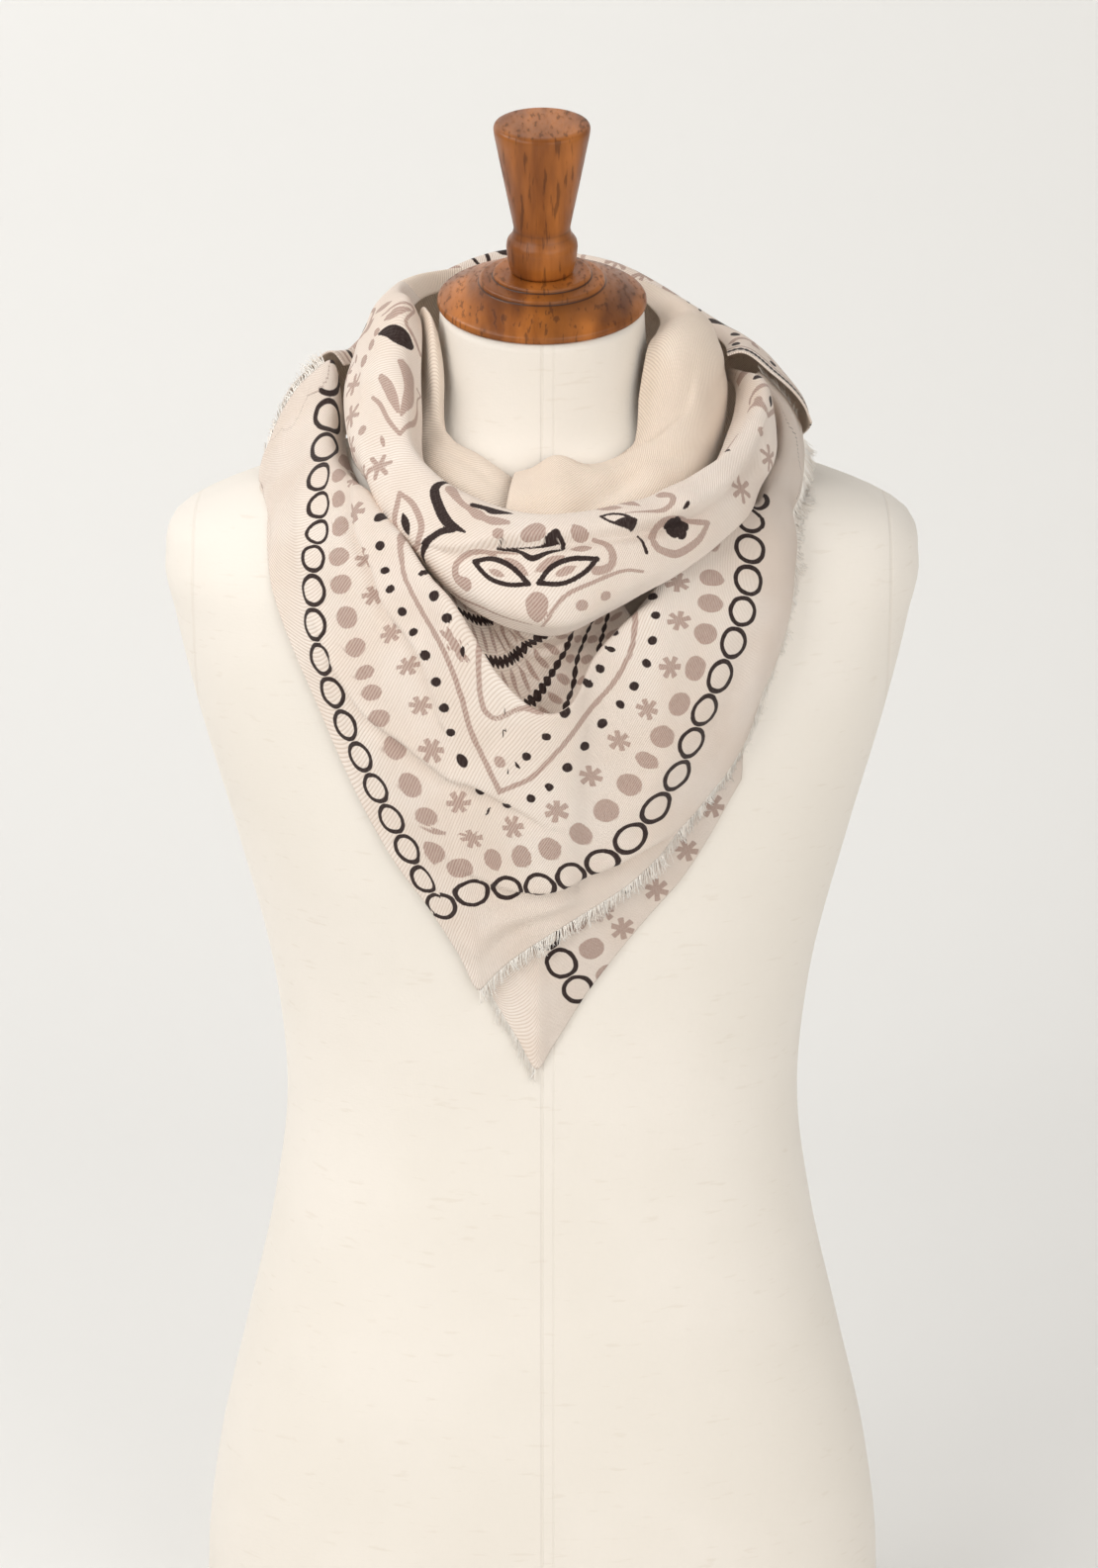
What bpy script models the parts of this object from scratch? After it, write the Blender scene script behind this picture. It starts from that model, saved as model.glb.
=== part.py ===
# A frayed-edge square scarf wound round the neck of a limbless dress form.
#
# Units are metres, +Z up. The origin is the centre of the form's flat underside,
# the front of the form faces -Y, and +X is to the right as the front is looked at.
# The tables are in millimetres and degrees. The stretches of cloth are lofted
# through upright sections that fan out round the neck: "angle" is the section's
# direction from the front (-Y) towards +X, "out" is the distance from the Z axis,
# "up" the height above the underside, and "gap" the distance off the form.

import math
from collections import namedtuple

import bmesh
import bpy
from mathutils import Vector

MM = 0.001

# ---------------------------------------------------------------- driving sizes
CLOTH = 1.2 * MM          # thickness of the cloth wall
SEAM_GAP = 0.3 * MM       # between a fringe's backing and the cloth's edge
CLEAR_OF_FORM = 1.3       # least distance (mm) of a cloth wall's middle from the form
NECK_LEAN = 14.2          # degrees that the neck's top leans forward
CAP_CENTRE = Vector((0, -8.5 * MM, 786 * MM))
FINIAL_LIFT = 18.9 * MM   # from the cap's underside to the finial's foot
FRINGE_LENGTH = 9 * MM
FRINGE_STEP = 2.0 * MM   # width of a strand's root, and of the gap beside it
FRINGE_STRIP = 1.6 * MM   # width of the strip that the strands are fused into
FRINGE_THICKNESS = 1.0 * MM

# ---------------------------------------------------------------- dress form
# The form's rings, from the underside to the neck's top.
Ring = namedtuple("Ring", "up centre lean half_width front back squareness")
FORM_RINGS = [
    Ring(0, 0, 0, 177, 100, 110, 2.3),
    Ring(18, 0, 0, 187, 106, 118, 2.3),
    Ring(70, 0, 0, 190, 108, 122, 2.3),
    Ring(140, 0, 0, 182, 106, 119, 2.3),
    Ring(210, 0, 0, 166, 102, 110, 2.3),
    Ring(280, 0, 0, 150, 96, 98, 2.25),
    Ring(345, 0, 0, 141.5, 92, 88, 2.2),
    Ring(415, 0, 0, 147, 97, 88, 2.2),
    Ring(500, 0, 0, 167, 110, 96, 2.3),
    Ring(570, 0, 0, 186, 108, 104, 2.5),
    Ring(620, 0, 0, 197, 100, 106, 2.8),
    Ring(652, 0, 0, 202, 90, 102, 3.0),
    Ring(674, 0, 0, 194, 80, 94, 2.8),
    Ring(690, 1, 0, 160, 74.5, 85, 2.6),
    Ring(702, 2, 0, 122, 71, 77, 2.4),
    Ring(714, 2, 2, 90, 68, 71, 2.2),
    Ring(728, 0, 6, 70, 63, 65, 2.0),
    Ring(744, -3, 10, 59, 58, 59, 2.0),
    Ring(765, -5.5, 13.4, 55.5, 55, 55, 2.0),
    Ring(785.6, -8.5, 14.2, 54, 54, 54, 2.0),
]
# Half outlines of the turned wood, from the top's centre down to the underside's.
Turned = namedtuple("Turned", "radius height")
CAP_OUTLINE = [
    Turned(0, 18.6), Turned(25, 18.6), Turned(26, 17.8), Turned(26, 16.2), Turned(32.4, 15.4),
    Turned(33.4, 14.5), Turned(33.4, 12.8), Turned(42, 10), Turned(50, 6.6), Turned(54.5, 4.6),
    Turned(55.5, 3.4), Turned(55.5, 0.8), Turned(54, 0), Turned(0, 0),
]
FINIAL_OUTLINE = [
    Turned(0, 82.5), Turned(22.2, 82.5), Turned(24.8, 81.7), Turned(25.4, 80), Turned(24.9, 76),
    Turned(21.7, 59.5), Turned(18.7, 44), Turned(15.6, 28.5), Turned(14.8, 24.2), Turned(15.8, 20.8),
    Turned(18.4, 17.4), Turned(18.9, 14.2), Turned(18.2, 6.6), Turned(16.8, 1.2), Turned(16, 0), Turned(0, 0),
]

# ---------------------------------------------------------------- rolls of cloth round the neck
# A roll's section runs from its inner edge over the crest and the belly to the edge tucked below.
Roll = namedtuple(
    "Roll",
    "angle inner_out inner_up crest_out crest_up belly_out belly_up low_out low_up tuck_out tuck_up",
)
# The loose cowl across the chest, which climbs on the left to stand beside the neck.
COWL = [
    Roll(-104, 67, 784, 76, 793, 93, 764, 102, 737, 100, 728),
    Roll(-85, 69, 781, 75, 791, 97, 766, 105, 738, 103, 726),
    Roll(-66, 70, 775, 76, 785, 98, 761, 112, 728, 110, 717),
    Roll(-57, 76, 757, 85, 766, 104, 749, 118, 721, 116, 711),
    Roll(-46, 87, 733, 97, 747, 111, 735, 123, 711, 119, 701),
    Roll(-40, 97, 717, 108, 731, 120, 719, 127, 699, 121, 689),
    Roll(-28, 108, 703, 118, 713, 130, 702, 133, 683, 126, 673),
    Roll(-16, 112, 691, 122, 702, 139, 689, 144, 664, 134, 650),
    Roll(-6, 117, 684, 127, 696, 148, 679, 153, 645, 138, 630),
    Roll(4, 120, 684, 131, 695, 152, 673, 156, 640, 138, 626),
    Roll(14, 121, 687, 132, 698, 152, 679, 155, 654, 141, 641),
    Roll(26, 121, 692, 132, 703, 149, 692, 153, 674, 149.5, 665),
    Roll(38, 120, 700, 131, 711, 144, 702, 149.5, 687, 149.5, 680),
    Roll(46, 117, 706, 130, 717, 140, 709, 145, 695, 146, 689),
    Roll(54, 113, 712, 128, 723, 137, 713, 140, 702, 138, 697),
    Roll(62, 109, 720, 128, 733, 135, 719, 136, 708, 131, 704),
    Roll(70, 107, 728, 125, 742, 131, 724, 130, 714, 124, 710),
    Roll(78, 105, 735, 117, 748, 123, 731, 123, 717, 117, 712),
    Roll(88, 103, 740, 106, 748, 112, 734, 113, 722, 110, 715),
    Roll(100, 100, 741, 102, 746, 106, 736, 107, 727, 105, 720),
]
COWL_ENDS = (-104, 100)
# The plain stretch that comes forward on the right and ends in a tongue at the throat.
RIGHT_NECK_ROLL = [
    Roll(-10, 71, 707, 80, 708.5, 94, 704, 105, 696, 112, 688),
    Roll(-4, 70, 709, 80, 710.5, 95, 705, 106, 697, 113, 686),
    Roll(5, 69.5, 714, 79, 716, 94, 711, 106, 701, 114, 688),
    Roll(14, 70, 709, 80, 712.5, 95, 709, 107, 700, 115, 687),
    Roll(24, 70, 708, 80, 712, 96, 709, 108, 701, 116, 690),
    Roll(35, 71, 713, 81, 717, 97, 715, 109, 706, 116, 694),
    Roll(44, 71, 722, 79, 727, 97, 722, 108, 711, 114, 698),
    Roll(52, 65, 742, 75, 747, 95, 735, 106, 717, 109, 702),
    Roll(60, 63, 761, 74, 767, 95, 746, 103, 723, 104, 705),
    Roll(75, 63, 771, 76, 780, 97, 755, 100, 729, 98, 710),
    Roll(90, 63, 774, 79, 781, 96, 757, 98, 733, 95, 713),
    Roll(110, 63, 778, 75, 784, 88, 766, 94, 740, 92, 720),
    Roll(130, 64, 783, 70, 789, 80, 770, 88, 742, 87, 724),
    Roll(150, 65, 784, 69.5, 790, 77, 770, 85, 742, 84, 726),
]
# The stretch behind the neck that joins the right roll to the cowl's standing end.
BACK_NECK_ROLL = [
    Roll(150, 65, 784, 69.5, 790, 77, 770, 85, 742, 84, 726),
    Roll(180, 65, 784, 69.5, 791, 77, 770, 85, 742, 84, 726),
    Roll(212, 65, 785, 71, 794, 80, 770, 89, 742, 87, 728),
    Roll(235, 66, 785, 74, 794, 87, 768, 95, 740, 93, 729),
    Roll(256, 67, 784, 76, 793, 93, 764, 102, 737, 100, 728),
]
# The plain stretch on the left, a narrow fold beside the neck that runs in under the tongue.
LEFT_NECK_ROLL = [
    Roll(-86, 62, 777, 63.5, 782, 66, 766, 69, 746, 70, 732),
    Roll(-72, 62, 778, 64, 784, 67, 765, 71, 742, 73, 724),
    Roll(-62, 62, 771, 64.5, 777, 69, 757, 75, 735, 79, 717),
    Roll(-54, 64, 751, 67.5, 756, 74, 742, 82, 724, 87, 709),
    Roll(-47, 70, 728, 73, 733, 81, 726, 91, 712, 96, 701),
    Roll(-38, 73, 718, 77, 723, 86, 719, 96, 707, 100, 695),
    Roll(-25, 71, 711, 77, 716, 88, 712, 98, 703, 103, 692),
    Roll(-14, 70, 703, 77, 707, 88, 703.5, 99, 694.5, 105, 684),
    Roll(-7, 70, 698, 77, 700.5, 87, 696.5, 98, 688, 105, 679),
]
# The outer turn, laid over the shoulders behind and open in front at both ends.
OUTER_TURN = [
    Roll(84, 99, 758, 105, 760, 123, 749, 141, 730, 144, 723),
    Roll(100, 97, 762, 103, 765, 126, 749, 141.5, 721, 139, 707),
    Roll(112, 92, 766, 98, 769, 117, 757, 136, 718, 131, 698),
    Roll(122, 88, 769, 94, 774, 110, 763, 129, 718, 123, 695),
    Roll(135, 82, 776, 89, 784, 106, 766, 122, 721, 115, 695),
    Roll(150, 79, 784, 85, 792, 106, 769, 117, 722, 107, 694),
    Roll(180, 79, 788, 85, 799, 104, 771, 114, 722, 101, 692),
    Roll(200, 79, 787, 85, 798, 104, 769, 115, 721, 103, 692),
    Roll(215, 81, 781, 88, 791, 106, 765, 119, 720, 109, 694),
    Roll(230, 90, 770, 97, 778, 113, 756, 126, 720, 119, 697),
    Roll(240, 96, 757, 102, 764, 118, 750, 131, 721, 126, 702),
    Roll(248, 101, 747, 107, 754, 122, 744, 135, 721, 131, 706),
    Roll(258, 105, 748, 111, 754, 128, 744, 140, 719, 137, 708),
    Roll(266, 106, 750, 112, 757, 128, 746, 141, 719, 139, 709),
]

# ---------------------------------------------------------------- cloth over the chest
# The big front triangle, from the rolled lip under the cowl down to its hem.
Drape = namedtuple(
    "Drape",
    "angle tuck_out tuck_up lip_out lip_up breast_out breast_up skirt_out skirt_up hem_out hem_up",
)
FRONT_DRAPE = [
    Drape(-90, 108.5, 745, 112, 754, 123, 747, 137, 729, 149, 703),
    Drape(-84, 106, 718, 113, 736, 126, 733, 139, 718, 151, 695),
    Drape(-78, 107, 713, 115, 727, 130, 721, 142, 709, 152, 691),
    Drape(-68, 110, 706, 120, 716, 136, 708, 146, 697, 155, 682),
    Drape(-59, 113, 699, 125, 709, 142, 699, 152, 678, 163, 644),
    Drape(-51, 118, 694, 127, 704, 145, 688, 156, 650, 154, 595),
    Drape(-44, 120, 689, 130, 700, 148, 677, 154, 622, 142, 546),
    Drape(-37, 124, 681, 136, 691, 150, 660, 151, 596, 133, 511),
    Drape(-29, 131, 666, 142, 680, 152, 643, 148, 570, 122.5, 481),
    Drape(-23, 134, 652, 148, 666, 152, 630, 144, 550, 114, 456),
    Drape(-18, 134, 637, 150, 654, 151, 615, 139, 530, 107.5, 434.5),
    Drape(-16, 134, 629, 150, 646.5, 150.5, 609, 138.5, 529.5, 107.8, 438.5),
    Drape(-9, 134, 604, 150, 618.5, 147, 588, 134, 527, 109, 452),
    Drape(-3, 134, 588, 150, 602, 144, 574, 133, 527, 110, 461),
    Drape(3, 133, 586, 150, 597, 144, 571, 134, 527, 111.5, 469),
    Drape(7, 133, 594, 149, 606, 145, 576, 135, 532, 112.5, 474),
    Drape(10, 132, 606, 147, 622, 147, 592, 137, 537, 114, 478),
    Drape(15, 131, 622, 145, 637, 150, 611, 141, 547, 116.5, 485),
    Drape(20, 134, 642, 145, 648, 151, 624, 146, 560, 120, 493),
    Drape(26, 141, 662, 145.5, 656, 151.5, 637, 150, 574, 124, 504),
    Drape(31, 140, 674, 145, 663, 152, 645, 153, 588, 128, 515),
    Drape(38, 138, 684, 144.5, 672, 153.5, 655, 158, 608, 135.5, 536),
    Drape(44.7, 136, 691, 143, 681, 154.5, 665, 162, 628, 144, 562),
    Drape(51, 136, 693, 142, 687, 154, 675, 162, 650, 153, 606),
    Drape(57, 131, 690, 139, 695, 149, 687, 156, 672, 156, 650),
    Drape(64, 125, 700, 136, 702, 143, 697, 147, 690.5, 146, 684),
    Drape(68, 125, 704, 135.5, 707, 142, 702.5, 145.5, 696, 145, 690),
    Drape(72, 128, 707, 134, 713, 140.5, 710, 144, 702, 143.5, 695),
    Drape(80, 126, 726, 128, 732, 134, 729, 139, 717.5, 141, 707),
    Drape(88, 112, 744, 114.5, 747.5, 122, 742, 131, 732, 138, 720),
]
DRAPE_TIP = -18
# The second corner, which hangs flat under the front one and shows below it.
UnderTip = namedtuple("UnderTip", "angle top_up hem_up")
UNDER_TIP = [
    UnderTip(-16, 466, 434),
    UnderTip(-12, 470, 420),
    UnderTip(-7, 478, 404),
    UnderTip(-1.5, 486, 388),
    UnderTip(3, 494, 400),
    UnderTip(13, 512, 431),
    UnderTip(28, 540, 475),
    UnderTip(37, 568, 502),
    UnderTip(47, 606, 549),
]
UNDER_TIP_POINT = -1.5
UNDER_TIP_GAP = 1.4
# The printed cloth at the bottom of the hollow below the cowl.
Pocket = namedtuple("Pocket", "angle upper_out fold_out lower_out")
POCKET = [
    Pocket(-25, 123, 121, 124),
    Pocket(-14, 123, 118, 122),
    Pocket(-4, 123, 116, 120),
    Pocket(4, 123, 116, 120),
    Pocket(12, 122, 117, 120),
    Pocket(20, 122, 119, 121),
]
POCKET_TOP = (-5, 9)      # its top's (out, up) from the cowl's tucked edge
POCKET_FOOT = (-1.5, 1)   # its foot's (out, up) from the drape's tucked edge


# ---------------------------------------------------------------- shape helpers
def smooth(keys, values, at):
    """Value at `at` on the cubic curve through (keys, values)."""
    if at <= keys[0]:
        return values[0]
    if at >= keys[-1]:
        return values[-1]
    last = len(keys) - 1
    i = max(k for k in range(last) if keys[k] <= at)

    def rise(k):
        return (values[k + 1] - values[k]) / (keys[k + 1] - keys[k])

    def slope(k):
        if k == 0:
            return rise(0)
        if k == last:
            return rise(last - 1)
        left, right = keys[k] - keys[k - 1], keys[k + 1] - keys[k]
        return (rise(k - 1) * right + rise(k) * left) / (left + right)

    span = keys[i + 1] - keys[i]
    share = (at - keys[i]) / span
    square, cube = share ** 2, share ** 3
    return (
        (2 * cube - 3 * square + 1) * values[i]
        + (cube - 2 * square + share) * span * slope(i)
        + (3 * square - 2 * cube) * values[i + 1]
        + (cube - square) * span * slope(i + 1)
    )


def row_at(rows, at):
    """The table's row at `at` of its first column, with every other column on a smooth curve."""
    keys = [row[0] for row in rows]
    return type(rows[0])(*(smooth(keys, [row[k] for row in rows], at) for k in range(len(rows[0]))))


def spread(first, last, steps):
    return [first + (last - first) * k / steps for k in range(steps + 1)]


def form_outline(ring, turn):
    """Point of a form ring at `turn` radians from the front, before its lean."""
    power = 2 / ring.squareness
    across, along = math.sin(turn), -math.cos(turn)
    depth = ring.front if along < 0 else ring.back
    x = ring.half_width * math.copysign(abs(across) ** power, across)
    return x, depth * math.copysign(abs(along) ** power, along)


def form_reach(angle, up):
    """How far the form reaches from the Z axis in this direction, at this height."""
    ring = row_at(FORM_RINGS, up)
    across, along = math.sin(math.radians(angle)), -math.cos(math.radians(angle))
    near, far = 0.0, 400.0
    while far - near > 0.05:
        out = (near + far) / 2
        x, y = out * across, out * along - ring.centre
        depth = ring.front if y < 0 else ring.back
        inside = (abs(x) / ring.half_width) ** ring.squareness + (abs(y) / depth) ** ring.squareness < 1
        near, far = (out, far) if inside else (near, out)
    return near


def polar(angle, out, up):
    turn = math.radians(angle)
    return Vector((out * math.sin(turn), -out * math.cos(turn), up)) * MM


def section(angle, stations, steps):
    """Points along the smooth curve through (out, up) stations, kept clear of the form."""
    keys = [0.0]
    for before, after in zip(stations, stations[1:]):
        keys.append(keys[-1] + math.dist(before, after))
    points = []
    for at in spread(0, keys[-1], steps):
        out, up = (smooth(keys, [station[axis] for station in stations], at) for axis in (0, 1))
        while out < form_reach(angle, up) + CLEAR_OF_FORM:
            out, up = out + 0.4, up + 0.4
        points.append(polar(angle, out, up))
    return points


# ---------------------------------------------------------------- object helpers
def make_material(name, colour, roughness):
    material = bpy.data.materials.new(name)
    material.use_nodes = True
    shader = material.node_tree.nodes["Principled BSDF"]
    shader.inputs["Base Color"].default_value = (*colour, 1)
    shader.inputs["Roughness"].default_value = roughness
    shader.inputs["Metallic"].default_value = 0
    return material


def place(name, mesh, material):
    """Put a finished bmesh in the part as a named object."""
    data = bpy.data.meshes.new(name)
    mesh.to_mesh(data)
    mesh.free()
    data.shade_smooth()
    item = bpy.data.objects.new(name, data)
    item.data.materials.append(material)
    PART.objects.link(item)
    return item


def cloth(name, columns):
    """A stretch of cloth: a wall laid half to each side of the grid through these columns."""
    mesh = bmesh.new()
    made = [[mesh.verts.new(point) for point in column] for column in columns]
    for left, right in zip(made, made[1:]):
        for k in range(len(left) - 1):
            mesh.faces.new((left[k], left[k + 1], right[k + 1], right[k]))
    item = place(name, mesh, TWILL)
    wall = item.modifiers.new("wall", "SOLIDIFY")
    wall.thickness = CLOTH
    wall.offset = 0
    wall.use_even_offset = True
    return item


def fringe(name, roots):
    """A frayed edge: a thin strip along the roots, with a pointed strand on every second cell.

    Each root is (point, direction across the strip, direction through it, strand's direction).
    A strand that would touch the one before it, or fold back over the strip, is left out.
    """
    mesh = bmesh.new()
    rows = []
    for point, down, through, strand in roots:
        half = through * (FRINGE_THICKNESS / 2)
        start = point + down * SEAM_GAP
        end = start + down * FRINGE_STRIP
        rows.append([mesh.verts.new(spot) for spot in (start + half, start - half, end - half, end + half)])
    last = None
    for k, (left, right) in enumerate(zip(rows, rows[1:])):
        for side in (0, 1, 3):
            after = (side + 1) % 4
            mesh.faces.new((left[side], left[after], right[after], right[side]))
        rim = (left[2], left[3], right[3], right[2])
        sway = (right[2].co - left[2].co) * (0.4 * math.sin(2.3 * k) * math.cos(0.7 * k))
        reach = FRINGE_LENGTH * (0.86 + 0.14 * math.sin(1.7 * k))
        middle = sum((corner.co for corner in rim), Vector()) / 4
        down, strand = roots[k][1], roots[k][3]
        end = middle + strand * reach + sway
        crowded = last and (end - last).length < 1.5 * FRINGE_STEP
        if k % 2 or crowded or strand.dot(down) < 0.5:
            mesh.faces.new(rim)
            continue
        last = end
        tip = mesh.verts.new(end)
        for side in range(4):
            mesh.faces.new((rim[side], rim[(side + 1) % 4], tip))
    mesh.faces.new(reversed(rows[0]))
    mesh.faces.new(rows[-1])
    bmesh.ops.recalc_face_normals(mesh, faces=mesh.faces)
    return place(name, mesh, TWILL)


def along(points, step):
    """Points spaced evenly along a path, with the path's own index as a number at each."""
    keys = [0.0]
    for before, after in zip(points, points[1:]):
        keys.append(keys[-1] + (after - before).length)
    count = 2 * int(keys[-1] / step / 2) + 1
    spots = []
    for at in spread(0, keys[-1], count):
        i = max(k for k in range(len(keys) - 1) if keys[k] <= at or k == 0)
        share = (at - keys[i]) / (keys[i + 1] - keys[i])
        spots.append((points[i].lerp(points[i + 1], share), i, share))
    return spots


def form_normal(point):
    """The form's outward direction at the spot nearest to a point just off it."""
    angle, up = math.degrees(math.atan2(point.x, -point.y)), point.z / MM
    spots = [polar(angle + turn, form_reach(angle + turn, up + lift), up + lift)
             for turn, lift in ((-2, 0), (2, 0), (0, -4), (0, 4))]
    return (spots[1] - spots[0]).cross(spots[3] - spots[2]).normalized()


def hem_fringe(name, edge, inner, lie=False):
    """The frayed edge along `edge`, hanging away from the matching points of the row `inner`.

    With `lie` its strands follow the form's surface rather than the cloth's own slope.
    """
    roots = []
    for root, i, share in along(edge, FRINGE_STEP):
        away = root - inner[i].lerp(inner[i + 1], share)
        run = (edge[i + 1] - edge[i]).normalized()
        through = run.cross(away).normalized()
        down = through.cross(run).normalized()
        strand = down
        if lie:
            normal = form_normal(root)
            strand = (down - normal * down.dot(normal)).normalized()
        roots.append((root, down, through, strand))
    return fringe(name, roots)


# ---------------------------------------------------------------- start
for old in list(bpy.data.objects):
    bpy.data.objects.remove(old)
PART = bpy.data.collections.new("scarf_on_dress_form")
bpy.context.scene.collection.children.link(PART)

TWILL = make_material("scarf_twill", (0.86, 0.75, 0.66), 0.85)
CALICO = make_material("form_calico", (0.86, 0.80, 0.70), 0.8)
WOOD = make_material("turned_wood", (0.36, 0.16, 0.06), 0.4)


# ---------------------------------------------------------------- dress form
def build_torso():
    """The torso, lofted through its rings from the flat underside to the neck's flat top."""
    around = 40
    heights = []
    for low, high in zip(FORM_RINGS, FORM_RINGS[1:]):
        heights += spread(low.up, high.up, math.ceil((high.up - low.up) / 24))[:-1]
    heights.append(FORM_RINGS[-1].up)
    mesh = bmesh.new()
    rings = []
    for up in heights:
        ring = row_at(FORM_RINGS, up)
        lean = math.radians(ring.lean)
        made = []
        for k in range(around):
            x, y = form_outline(ring, 2 * math.pi * k / around)
            point = Vector((x, ring.centre + y * math.cos(lean), up + y * math.sin(lean)))
            made.append(mesh.verts.new(point * MM))
        rings.append(made)
    for low, high in zip(rings, rings[1:]):
        for k in range(around):
            after = (k + 1) % around
            mesh.faces.new((low[k], low[after], high[after], high[k]))
    mesh.faces.new(reversed(rings[0]))
    mesh.faces.new(rings[-1])
    bmesh.ops.recalc_face_normals(mesh, faces=mesh.faces)
    place("form_torso", mesh, CALICO)


def build_turned(name, outline, steps, origin):
    """A turned piece: its half outline swept round the leaning axis of the neck."""
    mesh = bmesh.new()
    points = [mesh.verts.new((spot.radius * MM, 0, spot.height * MM)) for spot in outline]
    for above, below in zip(points, points[1:]):
        mesh.edges.new((above, below))
    item = place(name, mesh, WOOD)
    turn = item.modifiers.new("turn", "SCREW")
    turn.steps = turn.render_steps = steps
    turn.use_merge_vertices = True
    turn.merge_threshold = 0.05 * MM
    item.location = origin
    item.rotation_euler.x = math.radians(NECK_LEAN)


def build_wood():
    """The neck cap, a low cone with two beads, and the finial that stands on it."""
    lean = math.radians(NECK_LEAN)
    build_turned("neck_cap", CAP_OUTLINE, 44, CAP_CENTRE)
    axis = Vector((0, -math.sin(lean), math.cos(lean)))
    build_turned("finial", FINIAL_OUTLINE, 28, CAP_CENTRE + axis * FINIAL_LIFT)


# ---------------------------------------------------------------- scarf
def build_roll(name, rows, angles, steps):
    columns = []
    for angle in angles:
        row = row_at(rows, angle)
        columns.append(section(angle, list(zip(row[1::2], row[2::2])), steps))
    cloth(name, columns)


def build_rolls():
    """The stretches round the neck, each parted from the next by a hair where they meet."""
    part_line = 0.25
    build_roll("cowl_fold", COWL, spread(*COWL_ENDS, 40), 11)
    build_roll("neck_wrap_back", BACK_NECK_ROLL, spread(150 + part_line, 256 - part_line, 16), 9)
    build_roll("neck_wrap_right", RIGHT_NECK_ROLL, spread(-10, 150, 30), 9)
    build_roll("neck_wrap_left", LEFT_NECK_ROLL, spread(-86, -7, 18), 9)
    build_roll("outer_turn", OUTER_TURN, spread(84, 266, 30), 9)


def build_drape():
    """The front triangle with the frayed edges at its right and at both its upper ends."""
    angles = spread(-90, DRAPE_TIP, 21) + spread(DRAPE_TIP, 88, 29)[1:]
    columns = []
    for angle in angles:
        row = row_at(FRONT_DRAPE, angle)
        columns.append(section(angle, list(zip(row[1::2], row[2::2])), 14))
    cloth("drape_front", columns)
    frayed = columns[angles.index(DRAPE_TIP):-1]
    edge, inner = [column[-1] for column in frayed], [column[-2] for column in frayed]
    edge[0], inner[0] = edge[0].lerp(edge[1], 0.25), inner[0].lerp(inner[1], 0.25)
    hem_fringe("fringe_front", edge, inner, True)
    hem_fringe("fringe_left_end", columns[0][3:], columns[1][3:])
    hem_fringe("fringe_right_end", columns[-1][3:-1], columns[-2][3:-1])


def build_under_tip():
    angles = spread(-16, UNDER_TIP_POINT, 6) + spread(UNDER_TIP_POINT, 47, 14)[1:]
    columns = []
    for angle in angles:
        row = row_at(UNDER_TIP, angle)
        heights = spread(row.top_up, row.hem_up, 4)
        stations = [(form_reach(angle, up) + UNDER_TIP_GAP, up) for up in heights]
        columns.append(section(angle, stations, 6))
    cloth("tip_under", columns)
    frayed = columns[: angles.index(UNDER_TIP_POINT) + 1]
    hem_fringe("fringe_under_tip", [column[-1] for column in frayed], [column[-2] for column in frayed], True)


def build_pocket():
    """The cloth inside the hollow: behind the cowl's tucked edge, down to the drape's."""
    columns = []
    for angle in spread(POCKET[0].angle, POCKET[-1].angle, 12):
        row, cowl, drape = row_at(POCKET, angle), row_at(COWL, angle), row_at(FRONT_DRAPE, angle)
        top = (cowl.tuck_out + POCKET_TOP[0], cowl.tuck_up + POCKET_TOP[1])
        foot = (drape.tuck_out + POCKET_FOOT[0], drape.tuck_up + POCKET_FOOT[1])
        heights = spread(top[1], foot[1], 4)[1:-1]
        columns.append(section(angle, [top, *zip(row[1:], heights), foot], 9))
    cloth("pocket_fold", columns)


build_torso()
build_wood()
build_rolls()
build_drape()
build_under_tip()
build_pocket()
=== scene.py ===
import math
from collections import namedtuple

import bmesh
import bpy
import numpy as np
from mathutils import Matrix, Vector


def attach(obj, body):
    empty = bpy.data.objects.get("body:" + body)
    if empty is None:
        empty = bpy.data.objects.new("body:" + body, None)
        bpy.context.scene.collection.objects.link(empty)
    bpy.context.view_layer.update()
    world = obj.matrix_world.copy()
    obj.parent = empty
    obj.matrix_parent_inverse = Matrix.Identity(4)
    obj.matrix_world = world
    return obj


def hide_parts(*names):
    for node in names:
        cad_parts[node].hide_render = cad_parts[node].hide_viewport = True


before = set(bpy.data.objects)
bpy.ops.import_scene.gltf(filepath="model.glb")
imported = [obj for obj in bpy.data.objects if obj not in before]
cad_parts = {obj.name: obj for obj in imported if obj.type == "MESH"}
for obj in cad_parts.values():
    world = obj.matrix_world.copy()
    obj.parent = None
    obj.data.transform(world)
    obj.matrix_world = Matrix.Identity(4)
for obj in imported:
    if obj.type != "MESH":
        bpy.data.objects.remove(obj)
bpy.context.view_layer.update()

MM = 0.001

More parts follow.
